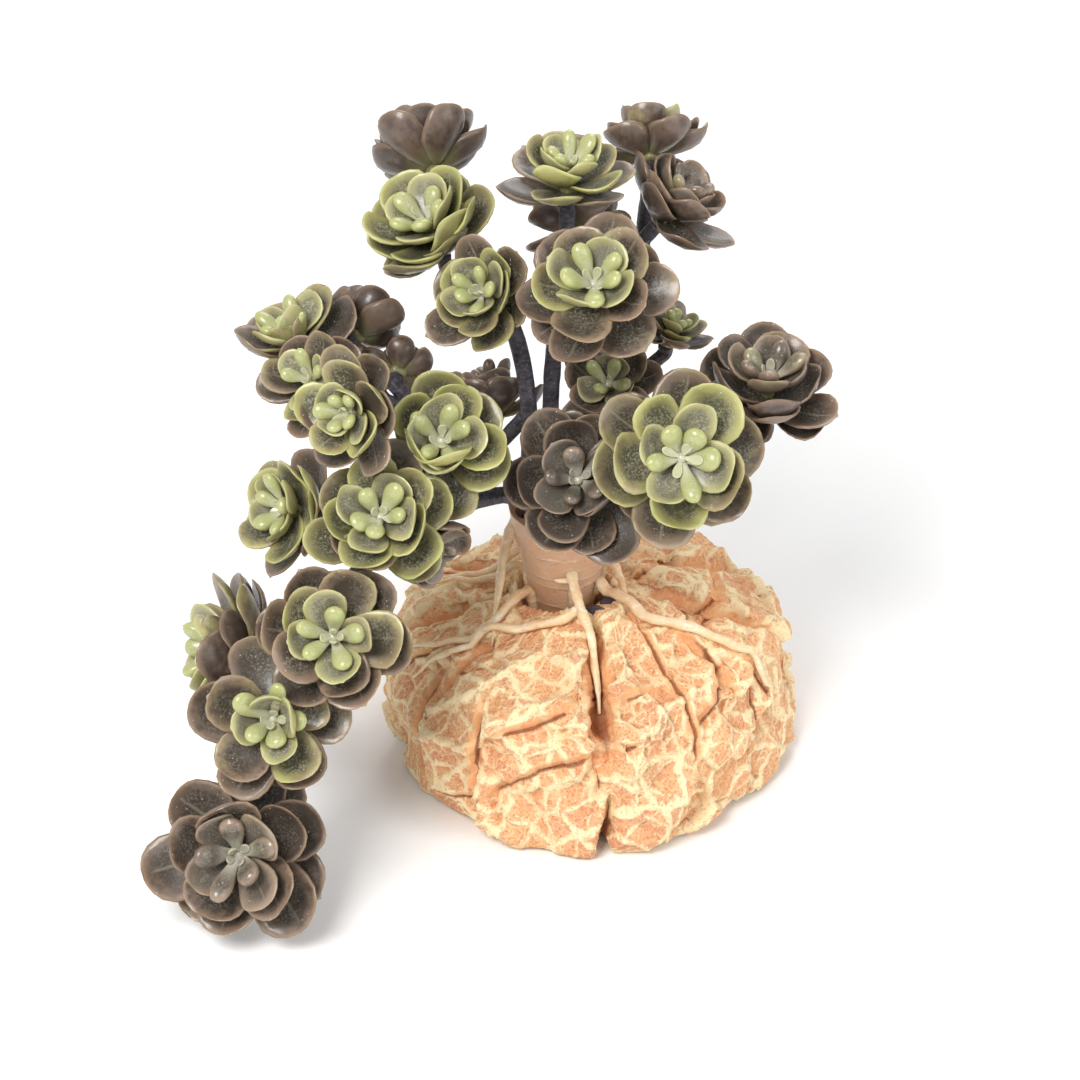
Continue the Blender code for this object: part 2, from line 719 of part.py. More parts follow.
def rosette(row, core, ball, obstacles, collection):
    seat, _, spin, _ = rosette_frame(row)
    ways, faces = ball
    blades = []
    for leaf in rosette_leaves(row):
        kept = settled_leaf(leaf, ball, seat, spin, obstacles)
        if kept is None:
            continue
        points = placed(leaf_ring(kept, ways), seat, spin) * MM
        mesh = bpy.data.meshes.new("leaf")
        mesh.from_pydata([tuple(point) for point in points], [], faces)
        blade = bpy.data.objects.new("leaf", mesh)
        collection.objects.link(blade)
        blades.append(blade)
    print(row[0], len(blades), "leaves")
    return keep_outer_skin(fused(core, blades, "MANIFOLD"))


def depth_in_view(row):
    # Rosettes nearest the front and the top keep their full leaves, and those behind them give way.
    return math.cos(FRONT_TILT) * row[2] - math.sin(FRONT_TILT) * row[3]


def main():
    clear_scene()
    parts = new_collection("potted_sedum")
    looks = {
        "rock": material("rock", (0.80, 0.50, 0.28), 0.85),
        "trunk": material("trunk", (0.42, 0.25, 0.15), 0.45),
        "stem": material("stem", (0.07, 0.065, 0.075), 0.55),
        "green": material("green_leaf", (0.28, 0.27, 0.14), 0.42),
        "brown": material("brown_leaf", (0.14, 0.105, 0.08), 0.42),
    }
    rows = {row[0]: row for row in ROSETTES}

    body = rock_body(parts)
    trunk = trunk_with_roots(tree_of(body), new_collection("trunk_cutters", hidden=True), parts)
    rock = rock_base(body, new_collection("rock_cutters", hidden=True))
    stems = [stem(*row, rows, parts) for row in STEMS]
    cores = {name: rosette_core(row, parts) for name, row in rows.items()}

    solids = [obstacle(obj) for obj in [rock, trunk, *stems]]
    core_solids = {name: obstacle(core) for name, core in cores.items()}
    ball = leaf_ball()
    grown = {}
    for name in sorted(rows, key=lambda name: depth_in_view(rows[name])):
        others = [solid for other, solid in core_solids.items() if other != name and other not in grown]
        made = rosette(rows[name], cores[name], ball, solids + others, parts)
        grown[name] = made
        solids.append(obstacle(made))

    paint(rock, looks["rock"])
    paint(trunk, looks["trunk"])
    for obj in stems:
        paint(obj, looks["stem"])
    for name, obj in grown.items():
        paint(obj, looks["brown" if name in BROWN_ROSETTES else "green"])
    for obj in [trunk, *stems, *grown.values()]:
        rounded(obj)


main()
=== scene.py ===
# Potted sedum: moulded leaf rosettes on ribbed stems, a tan trunk with root strands, and a carved rock base.
# Lengths are in millimetres and angles in degrees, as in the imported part, and mm turns lengths to metres.
import math

import bpy
import numpy as np
from mathutils import Matrix, Vector
from mathutils.bvhtree import BVHTree


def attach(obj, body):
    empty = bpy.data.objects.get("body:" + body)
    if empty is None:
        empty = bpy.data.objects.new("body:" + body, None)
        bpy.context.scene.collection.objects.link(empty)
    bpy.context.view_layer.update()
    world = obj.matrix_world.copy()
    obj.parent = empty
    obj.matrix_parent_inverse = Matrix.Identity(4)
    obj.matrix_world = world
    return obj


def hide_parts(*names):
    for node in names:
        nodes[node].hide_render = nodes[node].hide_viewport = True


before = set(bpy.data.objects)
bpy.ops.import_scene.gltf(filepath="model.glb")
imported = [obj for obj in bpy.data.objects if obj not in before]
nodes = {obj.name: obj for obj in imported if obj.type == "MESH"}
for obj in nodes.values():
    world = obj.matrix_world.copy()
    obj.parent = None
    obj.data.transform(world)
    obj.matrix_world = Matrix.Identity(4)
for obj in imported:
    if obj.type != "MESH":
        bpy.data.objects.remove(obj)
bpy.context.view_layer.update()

mm = 0.001
cellBlock = 4000  # points that cells() handles at once, so that its table of distances stays small


# Numpy helpers

def smoothStep(low, high, value):
    # 0 below low, 1 above high, and an S-shaped rise between them
    share = np.clip((value - low) / (high - low), 0.0, 1.0)
    return share * share * (3.0 - 2.0 * share)


def bell(value, width):
    # 1 at zero, falling away on both sides over about this width
    return np.exp(-((value / width) ** 2))


def waves(points, length, seed, count=20):
    # Smooth noise between about -1 and 1: cosines of about this wavelength with random directions and starts
    rng = np.random.default_rng(seed)
    ways = rng.standard_normal((count, 3))
    ways /= np.linalg.norm(ways, axis=1)[:, None]
    pitch = 2.0 * math.pi / (length * rng.uniform(0.7, 1.4, count))
    start = rng.uniform(0.0, 2.0 * math.pi, count)
    return np.cos((points @ ways.T) * pitch + start).sum(axis=1) * math.sqrt(1.4 / count)


def cells(points, seeds):
    # For each point, the distance to the edge of its seed's cell, and its two nearest seeds. The distance is
    # the difference of the squares of the distances to those two, over twice the distance between them.
    edge = np.empty(len(points))
    nearest = np.empty((2, len(points)), int)
    for start in range(0, len(points), cellBlock):
        part = slice(start, start + cellBlock)
        block = points[part]
        apart = (block ** 2).sum(1)[:, None] + (seeds ** 2).sum(1)[None, :] - 2.0 * block @ seeds.T
        first = apart.argmin(axis=1)
        rows = np.arange(len(block))
        near = apart[rows, first]
        apart[rows, first] = np.inf
        second = apart.argmin(axis=1)
        between = np.linalg.norm(seeds[first] - seeds[second], axis=1)
        edge[part] = 0.5 * (apart[rows, second] - near) / np.maximum(between, 1e-3)
        nearest[:, part] = first, second
    return edge, *nearest


# Mesh helpers

def tubeFaces(rings, around):
    # Quads between closed rings of points, and a fan of triangles at the first and the last point
    ring = np.arange(rings - 1)[:, None] * around + 1
    spot = np.arange(around)[None, :]
    beside = (spot + 1) % around
    quads = np.stack([ring + spot, ring + beside, ring + around + beside, ring + around + spot], axis=2)
    spot, beside = spot[0], beside[0]
    top = 1 + (rings - 1) * around
    first = np.stack([np.zeros(around, int), 1 + beside, 1 + spot], axis=1)
    last = np.stack([top + spot, top + beside, np.full(around, top + around)], axis=1)
    return quads.reshape(-1, 4), np.concatenate([first, last])


def placed(name, data):
    # A new object in the scene
    made = bpy.data.objects.new(name, data)
    bpy.context.scene.collection.objects.link(made)
    return made


def addPiece(name, points, quads, triangles, fields, look, slot, node):
    # A mesh object at the origin, attached to the root body, that takes the place of its node of the frame,
    # which it hides. Fields are named point vectors.
    mesh = bpy.data.meshes.new(name)
    mesh.vertices.add(len(points))
    mesh.vertices.foreach_set("co", (points * mm).astype(np.float32).ravel())
    corners = np.concatenate([quads.ravel(), triangles.ravel()]).astype(np.int32)
    starts = np.concatenate([np.arange(len(quads)) * 4, quads.size + np.arange(len(triangles)) * 3])
    mesh.loops.add(len(corners))
    mesh.loops.foreach_set("vertex_index", corners)
    mesh.polygons.add(len(starts))
    mesh.polygons.foreach_set("loop_start", starts.astype(np.int32))
    mesh.update(calc_edges=True)
    mesh.shade_smooth()
    for field, values in fields.items():
        layer = mesh.attributes.new(field, "FLOAT_VECTOR", "POINT")
        layer.data.foreach_set("vector", values.astype(np.float32).ravel())
    mesh.materials.append(look)
    piece = placed(name, mesh)
    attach(piece, "root")
    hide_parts(node)


def surfaceTree(points, quads, triangles):
    # A tree of faces for rays and overlap tests
    return BVHTree.FromPolygons(points.tolist(), [*quads.tolist(), *triangles.tolist()])


def boxedTree(points, quads, triangles):
    return surfaceTree(points, quads, triangles), points.min(axis=0), points.max(axis=0)


def nodeTree(name):
    # The surface of a node of the frame as a search tree, with its box, in millimetres
    mesh = nodes[name].data
    points = np.empty(len(mesh.vertices) * 3, np.float32)
    mesh.vertices.foreach_get("co", points)
    points = points.reshape(-1, 3) / mm
    faces = [tuple(face.vertices) for face in mesh.polygons]
    return BVHTree.FromPolygons(points.tolist(), faces), points.min(axis=0), points.max(axis=0)


# Shader helpers

def linear(code):
    # A colour given as red, green and blue in hexadecimal, as the linear values a socket takes
    parts = [int(code[i:i + 2], 16) / 255.0 for i in (0, 2, 4)]
    return (*[part / 12.92 if part <= 0.04045 else ((part + 0.055) / 1.055) ** 2.4 for part in parts], 1.0)


class Value:
    # One output socket. A sum, difference or product of values, or the absolute of one, adds its Math node.
    def __init__(self, shader, socket):
        self.shader = shader
        self.socket = socket

    def math(self, operation, *values):
        return self.shader.node("ShaderNodeMath", {"operation": operation}, values)

    def __add__(self, other):
        return self.math("ADD", self, other)

    def __sub__(self, other):
        return self.math("SUBTRACT", self, other)

    def __rsub__(self, other):
        return self.math("SUBTRACT", other, self)

    def __mul__(self, other):
        return self.math("MULTIPLY", self, other)

    def __abs__(self):
        return self.math("ABSOLUTE", self)

    __radd__ = __add__
    __rmul__ = __mul__


class Shader:
    # A material under construction
    def __init__(self, name):
        self.material = bpy.data.materials.new(name)
        self.material.use_nodes = True
        self.tree = self.material.node_tree
        self.surface = self.tree.nodes["Principled BSDF"]

    def node(self, kind, settings, sockets, output=0):
        # Adds a node: its settings first, then the values or links of its sockets, by number or name
        made = self.tree.nodes.new(kind)
        for key, setting in settings.items():
            setattr(made, key, setting)
        pairs = sockets.items() if isinstance(sockets, dict) else enumerate(sockets)
        for key, value in pairs:
            if isinstance(value, Value):
                self.tree.links.new(value.socket, made.inputs[key])
            else:
                made.inputs[key].default_value = value
        return Value(self, made.outputs[output])

    def place(self):
        return self.node("ShaderNodeTexCoord", {}, {}, "Object")

    def field(self, name):
        # The three parts of a point field of the piece
        vector = self.node("ShaderNodeAttribute", {"attribute_name": name}, {}, "Vector")
        return [self.node("ShaderNodeSeparateXYZ", {}, [vector], part) for part in range(3)]

    def noise(self, vector, scale, detail=3.0, roughness=0.55, distortion=0.0):
        sockets = {"Vector": vector, "Scale": scale, "Detail": detail, "Roughness": roughness}
        return self.node("ShaderNodeTexNoise", {}, {**sockets, "Distortion": distortion})

    def net(self, vector, scale, feature="DISTANCE_TO_EDGE", output=0):
        # Voronoi cells: the distance to a cell's edge, unless another feature is named
        sockets = {"Vector": vector, "Scale": scale}
        return self.node("ShaderNodeTexVoronoi", {"feature": feature}, sockets, output)

    def warped(self, vector, scale, amount):
        # The coordinates pushed about by a colour noise, so that a pattern on them is irregular
        pushed = self.node("ShaderNodeTexNoise", {}, {"Vector": vector, "Scale": scale, "Detail": 2.0}, 1)
        half = self.node("ShaderNodeVectorMath", {"operation": "SUBTRACT"}, [pushed, (0.5, 0.5, 0.5)])
        small = self.node("ShaderNodeVectorMath", {"operation": "SCALE"}, {0: half, 3: amount})
        return self.node("ShaderNodeVectorMath", {"operation": "ADD"}, [vector, small])

    def most(self, first, second):
        return self.node("ShaderNodeMath", {"operation": "MAXIMUM"}, [first, second])

    def rise(self, low, high, value):
        # 0 below low, 1 above high, and an S-shaped rise between them
        settings = {"interpolation_type": "SMOOTHSTEP"}
        return self.node("ShaderNodeMapRange", settings, {"Value": value, "From Min": low, "From Max": high})

    def fall(self, low, high, value):
        return 1.0 - self.rise(low, high, value)

    def blend(self, factor, first, second):
        # A mix of two colours, each a link, linear values or a hexadecimal code
        first, second = (linear(color) if isinstance(color, str) else color for color in (first, second))
        return self.node("ShaderNodeMix", {"data_type": "RGBA"}, {0: factor, 6: first, 7: second}, 2)

    def painted(self, color, *layers):
        # Layers over a colour, each a factor and the colour that it blends in
        for factor, layer in layers:
            color = self.blend(factor, color, layer)
        return color

    def bump(self, height, distance, strength=1.0):
        return self.node("ShaderNodeBump", {}, {"Height": height, "Distance": distance, "Strength": strength})

    def finish(self, color, roughness, normal, **constants):
        # Links what varies over the surface, and sets what doesn't on the shader's own sockets
        for socket, value in (("Base Color", color), ("Roughness", roughness), ("Normal", normal)):
            self.tree.links.new(value.socket, self.surface.inputs[socket])
        for socket, value in constants.items():
            self.surface.inputs[socket.replace("_", " ")].default_value = value
        return self.material


# Camera, light and floor

view = {"elevation": 34.0, "distance": 800.0, "across": -11.52, "up": -47.04, "lens": 111.1, "near": 50.0}
lampTarget = (0, 0, 70)
lamps = {
    # name: place, size, watts, colour
    "window": ((-330, -560, 760), 380, 7.7, (1.0, 0.985, 0.96)),
    "fill": ((620, -420, 420), 520, 2.2, (0.96, 0.98, 1.0)),
    "back": ((100, 620, 700), 500, 2.8, (1.0, 1.0, 1.0)),
}
studioStrength = 0.54
floorHalf = 3000.0
floorLevel = -0.2  # just below the rock's underside


def setCamera():
    # Looks at the rock's ground centre from the front and above, then slides in its own plane to frame it
    data = bpy.data.cameras.new("camera")
    data.lens = view["lens"]
    data.clip_start = view["near"] * mm
    camera = placed("camera", data)
    tilt = math.radians(view["elevation"])
    back = Vector((0.0, -math.cos(tilt), math.sin(tilt)))
    upward = Vector((0.0, math.sin(tilt), math.cos(tilt)))
    camera.location = (back * view["distance"] + upward * -view["up"] + Vector((view["across"], 0, 0))) * mm
    camera.rotation_euler = (math.radians(90.0 - view["elevation"]), 0.0, 0.0)
    bpy.context.scene.camera = camera


def setLights():
    for name, (place, size, watts, color) in lamps.items():
        data = bpy.data.lights.new(name, "AREA")
        data.size = size * mm
        data.energy = watts
        data.color = color
        lamp = placed(name, data)
        lamp.location = Vector(place) * mm
        lamp.rotation_euler = (Vector(lampTarget) - Vector(place)).to_track_quat("-Z", "Y").to_euler()
    world = bpy.data.worlds.new("studio")
    world.use_nodes = True
    studio = world.node_tree.nodes["Background"].inputs
    studio["Color"].default_value = (1.0, 1.0, 1.0, 1.0)
    studio["Strength"].default_value = studioStrength
    bpy.context.scene.world = world
    bpy.context.scene.view_settings.view_transform = "Standard"


def setFloor():
    corners = [(x * floorHalf * mm, y * floorHalf * mm, floorLevel * mm)
               for x, y in ((-1, -1), (1, -1), (1, 1), (-1, 1))]
    mesh = bpy.data.meshes.new("floor")
    mesh.from_pydata(corners, [], [(0, 1, 2, 3)])
    shader = Shader("floor")
    place = shader.place()
    speckle = shader.noise(place, 900.0)
    color = shader.blend(speckle, (0.90, 0.90, 0.90, 1.0), (0.93, 0.93, 0.93, 1.0))
    mesh.materials.append(shader.finish(color, speckle * 0.05 + 0.8, shader.bump(speckle, 0.00002)))
    placed("floor", mesh)


# Rock base

rock = {
    "radius": 50.5, "height": 44.0, "waist": 14.0,
    "widthPower": 0.60, "risePower": 0.78, "footPower": 0.80, "footShare": 1.3,
    "shoulderFacing": 74.0, "shoulderSpread": 92.0, "shoulderSwell": 0.13, "shoulderRise": 7.0,
    "lobes": ((3.0, 0.030, 0.6), (5.0, 0.022, 2.3)),  # waves round the rock, share of its reach, start
    "clefts": (  # facing, depth, half width, inner end
        (273.5, 8.0, 3.8, 10.0), (359.0, 8.0, 3.4, 9.0), (41.0, 4.5, 2.4, 16.0), (92.0, 6.0, 2.6, 11.0),
        (139.0, 6.0, 2.6, 11.0), (178.0, 5.5, 2.6, 10.0), (213.0, 3.6, 2.2, 22.0), (326.0, 3.4, 2.2, 24.0),
    ),
    "cleftStart": 8.0, "closedAt": 22.0, "closedSpread": 8.0, "closedShare": 0.75,
    "chiselSlopes": (68.0, 31.0, 4.0), "chiselSides": (-0.24, 0.22), "chiselShares": (0.86, 0.96),
    "chiselScatter": 5.0, "seed": 41,
    "rings": 136, "columns": 640, "floorRings": 6, "outlineSteps": 4000,
    "holeAt": (-6.0, 2.0), "holeRadius": 8.0, "holeMouth": 11.2, "holeDepth": 17.0,
    # spacing of the centres, tilt, flatness, and the lip at an edge with the width that it blends over
    "slabs": (13.0, 0.19, 0.80, 0.34, 0.8),
    "flakes": (6.0, 0.10, 0.45, 0.16, 0.6), "mostLift": 1.8,
    "netCells": 2100, "netSink": 0.14,
    "bevelRamp": (0.7, 4.0), "rampReach": 12.0, "stepShare": 0.5, "stepReach": 3.6, "grooveReach": 3.0,
    # how far noise pushes the plates' edges about, its wavelength and its seeds
    "warps": ((0.7, 15.0, (1, 2, 3)), (0.28, 4.0, (4, 5, 6))), "grooveWarp": 0.22,
    "moreCentres": 7000,  # points tried as centres beside the chosen ones
}
grooves = (
    # the groove's line, its depth, and the width of the bevel on its two sides: above or right, below or left
    (((1.5, -30, 33), (0.9, -37, 29), (0.8, -41, 25), (1.8, -43, 20), (3, -44, 15)), 1.6, 0.9, 0.9),
    (((-24, -33, 34), (-25, -37, 27), (-26, -38, 15)), 1.9, 0.8, 2.6),
    (((-22, -38, 28), (-13, -39, 32), (-6, -38, 35), (-1, -31, 35)), 1.5, 2.2, 0.6),
    (((-23, -40, 13), (-13, -41, 20), (-4, -42, 24), (1, -41, 26)), 2.0, 2.5, 0.6),
    (((-32, -20, 33), (-28, -22, 36), (-22, -23, 37)), 0.9, 0.7, 1.2),
    (((-46, -5, 14), (-42, -14, 15)), 1.0, 1.0, 0.5),
    (((-35, -18, 33), (-37, -20, 29), (-39, -21, 20), (-38, -23, 10), (-36, -29, 7)), 1.6, 1.7, 2.0),
    (((-36, -29, 7), (-31, -33, 8), (-23, -40, 13)), 0.9, 1.5, 0.6),
    (((3, -32, 31), (9, -33, 36), (15, -28, 35)), 1.7, 2.3, 0.6),
    (((2, -37, 22), (8, -41, 28), (12, -40, 29)), 1.3, 1.7, 0.5),
    (((8, -8, 42), (15, -19, 39), (20, -29, 35), (24, -33, 27), (24, -36, 19)), 1.0, 1.4, 1.2),
    (((21, -11, 39), (26, -15, 36), (28, -18, 33), (30, -25, 32), (29, -28, 29), (24, -33, 27)),
     1.7, 0.8, 3.4),
    (((29, -14, 37), (39, -15, 28), (42, -12, 20), (42, -14, 13)), 1.1, 0.8, 1.5),
    (((37, -16, 29), (38, -19, 20), (39, -21, 11)), 1.2, 1.0, 1.0),
    (((8, 3, 43), (12, 5, 42), (16, 9, 41)), 1.5, 1.2, 1.2),
    (((29, 18, 35), (28, 3, 36), (25, -9, 39)), 1.5, 2.2, 2.0),
    (((36, 21, 31), (35, 2, 31)), 0.9, 1.5, 0.9),
    (((-41, -5, 32), (-35, -4, 35), (-28, -4, 39)), 1.1, 1.2, 1.2),
    (((-44, -5, 24), (-37, -12, 33), (-31, -12, 37)), 1.1, 1.6, 0.7),
)
slabCentres = (  # the slabs that the front shows
    (-12, -28, 39), (-19, -34, 34), (-6, -37, 35), (-12, -40, 29), (-4, -41, 29), (-19, -40, 21),
    (-9, -41, 24), (-15, -43, 9), (-4, -44, 11), (-22, -41, 12), (-31, -26, 33), (-30, -32, 29),
    (-33, -32, 18), (-29, -36, 14), (-42, -12, 24), (-44, -9, 11), (-41, -18, 7), (-34, 3, 35),
    (-37, -4, 34), (-22, 26, 35), (-25, 7, 39), (-27, -21, 37), (-14, -19, 41), (-6, -21, 42),
    (10, -18, 40), (5, -24, 38), (7, -30, 36), (11, -36, 33), (6, -39, 30), (16, -37, 28), (8, -41, 25),
    (9, -43, 17), (15, -42, 20), (11, -45, 9), (24, -23, 36), (19, -30, 34), (21, -33, 30), (26, -29, 30),
    (32, -20, 30), (36, -20, 25), (42, -15, 13), (29, -32, 22), (24, -37, 17), (32, -30, 12), (21, -40, 10),
    (40, -20, 7), (19, -15, 39), (15, -9, 41), (17, 12, 40), (22, 3, 39), (29, 4, 36), (28, 28, 32),
    (36, 17, 32), (40, 7, 32), (42, -5, 31), (37, -5, 35), (30, -9, 38),
)
backGrooves = {"facings": (20, 66, 115, 158, 195, 235), "polars": (58, 84), "reach": 15, "slant": 6,
               "depth": 1.5, "bevels": (2.2, 0.6)}


def chiselPlanes():
    # Two flat cuts on each lobe at each slope: a direction, and the share of the reach that is left
    rng = np.random.default_rng(rock["seed"])
    middles = sorted(cleft[0] for cleft in rock["clefts"])
    planes = []
    for first, last in zip(middles, middles[1:] + [middles[0] + 360.0]):
        for slope in rock["chiselSlopes"]:
            for side in rock["chiselSides"]:
                turn, lean = rock["chiselScatter"] * rng.standard_normal(2)
                facing = math.radians(0.5 * (first + last) + side * (last - first) + turn)
                tilt = math.radians(slope + lean)
                way = (math.cos(tilt) * math.cos(facing), math.cos(tilt) * math.sin(facing), math.sin(tilt))
                planes.append((np.array(way), rng.uniform(*rock["chiselShares"])))
    return planes


def rockRings():
    # Polar angles at equal steps along the bun's outline from top to floor, and how far each is from it
    foot = (1.0 / rock["footShare"]) ** (1.0 / rock["footPower"])
    polar = np.linspace(0.0, math.pi - math.acos(foot), rock["outlineSteps"])
    up = np.cos(polar)
    reach = rock["radius"] * np.sin(polar) ** rock["widthPower"]
    above = (rock["height"] - rock["waist"]) * np.abs(up) ** rock["risePower"]
    below = rock["waist"] * rock["footShare"] * np.abs(up) ** rock["footPower"]
    rise = np.where(up > 0.0, above, -below)
    along = np.concatenate([[0.0], np.cumsum(np.hypot(np.diff(reach), np.diff(rise)))])
    wanted = np.linspace(0.0, along[-1], rock["rings"] + 1)[1:]
    return np.interp(wanted, along, polar), along[-1] - wanted


def rockWays(facing, polar):
    return np.stack([np.sin(polar) * np.cos(facing), np.sin(polar) * np.sin(facing), np.cos(polar)], axis=-1)


def rockSurface(ways):
    # The rock in these directions: a bun whose width and rise are powers of the direction's parts, with
    # lobes, a shoulder behind, chisel cuts, and clefts that sink towards the middle. Returns the points, how
    # far each has sunk in a cleft, and how far across the cleft it lies.
    level = np.hypot(ways[:, 0], ways[:, 1])
    facing = np.arctan2(ways[:, 1], ways[:, 0])
    up = ways[:, 2]
    flat = level ** rock["widthPower"]
    lobes = 1.0 + sum(share * np.sin(count * facing + start) for count, share, start in rock["lobes"])
    aside = (facing - math.radians(rock["shoulderFacing"]) + math.pi) % (2.0 * math.pi) - math.pi
    shoulder = np.cos(np.clip(aside / math.radians(rock["shoulderSpread"]), -1.0, 1.0) * 0.5 * math.pi)
    reach = rock["radius"] * flat * (lobes + rock["shoulderSwell"] * shoulder)
    above = rock["height"] - rock["waist"] + rock["shoulderRise"] * shoulder * level
    above *= np.abs(up) ** rock["risePower"]
    below = rock["waist"] * rock["footShare"] * np.abs(up) ** rock["footPower"]
    height = rock["waist"] + np.where(up > 0.0, above, -below)
    points = np.stack([reach * np.cos(facing), reach * np.sin(facing), height], axis=1)
    for way, share in chiselPlanes():
        along = (points - (0.0, 0.0, rock["waist"])) @ way
        points -= np.maximum(along - share * along.max(), 0.0)[:, None] * way
    out = np.hypot(points[:, 0], points[:, 1])
    sunk = np.zeros(len(points))
    aside = np.full(len(points), 9.0)
    for middle, depth, half, inner in rock["clefts"]:
        across = np.abs((facing - math.radians(middle) + math.pi) % (2.0 * math.pi) - math.pi) * out
        start = np.clip((out - inner) / rock["cleftStart"], 0.0, 1.0)
        closing = bell(height - rock["closedAt"], rock["closedSpread"])  # halfway up it is a shallow crack
        share = np.clip(1.0 - across / half, 0.0, 1.0) ** (1.15 + 1.4 * closing)
        sunk = np.maximum(sunk, depth * start * share * (1.0 - rock["closedShare"] * closing))
        aside = np.minimum(aside, across - half + 6.0 * (1.0 - start))
    inward = np.stack([-np.cos(facing) * flat, -np.sin(facing) * flat, -np.clip(up, 0.0, 1.0)], axis=1)
    inward /= np.maximum(np.linalg.norm(inward, axis=1), 1e-6)[:, None]
    return points + inward * sunk[:, None], sunk, aside


def gridNormals(points, rings, columns):
    # Outward directions of a ring grid: the cross product of the steps round a ring and down the rings
    grid = points.reshape(rings, columns, 3)
    around = np.roll(grid, -1, axis=1) - np.roll(grid, 1, axis=1)
    down = np.gradient(grid, axis=0)
    normals = np.cross(down, around).reshape(-1, 3)
    return normals / np.maximum(np.linalg.norm(normals, axis=1), 1e-9)[:, None]


def allGrooves():
    # The grooves of the front, and two slanting ones on each lobe behind, which start as directions
    lines = [(np.array(line, float), *rest) for line, *rest in grooves]
    for number, facing in enumerate(backGrooves["facings"]):
        for polar in backGrooves["polars"]:
            shares = np.array([-1.0, 0.0, 1.0]) * (1 if number % 2 else -1)
            turns = np.radians(facing + backGrooves["reach"] * shares)
            downs = np.radians(polar + backGrooves["slant"] * shares)
            line = rockSurface(rockWays(turns, downs))[0]
            lines.append((line, backGrooves["depth"], *backGrooves["bevels"]))
    return lines


def lineDistances(points, line):
    # How far each point is from a groove's line, measured along the rock's surface, and on which side of it:
    # above 0 where the cross product of the outward direction and the line's step points
    best = np.full(len(points), 1e9)
    side = np.zeros(len(points))
    for first, last in zip(line, line[1:]):
        step = last - first
        share = np.clip((points - first) @ step / (step @ step), 0.0, 1.0)
        off = points - first - share[:, None] * step
        outward = 0.5 * (first + last) - (0.0, 0.0, rock["waist"])
        outward /= np.linalg.norm(outward)
        off -= np.clip(off @ outward, -rock["grooveReach"], rock["grooveReach"])[:, None] * outward
        apart = np.linalg.norm(off, axis=1)
        nearer = apart < best
        best = np.where(nearer, apart, best)
        side = np.where(nearer, off @ np.cross(outward, step), side)
    return best, side


def grooveFields(points):
    # How far the grooves sink each point, how near the nearest groove line is, and how far each point lies on
    # a groove's bevel: 1 at the line, 0 at the bevel's edge, below 0 beyond it. The rock ramps up to the edge
    # of a wide bevel, and on the narrow side it starts low and climbs back slowly, so each groove is a step.
    sink = np.zeros(len(points))
    nearest = np.full(len(points), 9.0)
    bevel = np.full(len(points), -9.0)
    lift, liftReach = rock["bevelRamp"]
    for line, depth, above, below in allGrooves():
        best, side = lineDistances(points, line)
        ends = np.minimum(np.linalg.norm(points - line[0], axis=1), np.linalg.norm(points - line[-1], axis=1))
        taper = smoothStep(-0.5, 3.5, ends)
        width = np.where(side > 0.0, above, below) * (0.35 + 0.65 * taper)
        wide = width > 1.0
        share = 1.0 - best / width
        inside = np.clip(share, 0.0, 1.0)
        ramp = lift * np.exp(-np.maximum(best - width, 0.0) / liftReach)
        steep = taper * ((depth + ramp) * inside - ramp * (best < rock["rampReach"]))
        slow = np.clip(1.0 - best / rock["stepReach"], 0.0, 1.0)
        step = depth * taper * (rock["stepShare"] * slow + (1.0 - rock["stepShare"]) * inside)
        deeper = np.where(np.abs(sink) > np.abs(steep), sink, steep)
        sink = np.where(wide, deeper, np.maximum(sink, step))
        nearest = np.minimum(nearest, best + 1.2 * (1.0 - taper))
        bevel = np.maximum(bevel, np.where(wide, share, -9.0))
    return sink, nearest, bevel


def spacedOut(points, spacing, chosen, rng):
    # Adds points in random order to the chosen ones, each at least the spacing from all of them
    chosen = list(chosen)
    for number in rng.permutation(len(points))[:rock["moreCentres"]]:
        if not chosen or np.linalg.norm(points[chosen] - points[number], axis=1).min() > spacing:
            chosen.append(number)
    return np.array(chosen)


def plates(points, pushed, normals, chosen, sizes, rng):
    # The surface cut into flat plates, one round each chosen point. A plate is a tilted plane through its
    # centre, and at an edge it has a lip and blends into the next. Returns how far each point rises, its
    # distance to an edge and its plate.
    _, tilt, flatness, lip, width = sizes
    edge, own, other = cells(pushed, pushed[chosen])
    tilts = normals[chosen] * -flatness + tilt * rng.standard_normal((len(chosen), 3))
    most = rock["mostLift"]
    here, beside = (np.clip(((points - points[chosen][plate]) * tilts[plate]).sum(axis=1), -most, most)
                    for plate in (own, other))
    share = 0.5 + 0.5 * smoothStep(0.0, width, edge)
    return share * here + (1.0 - share) * beside + lip * bell(edge, 0.5), edge, own


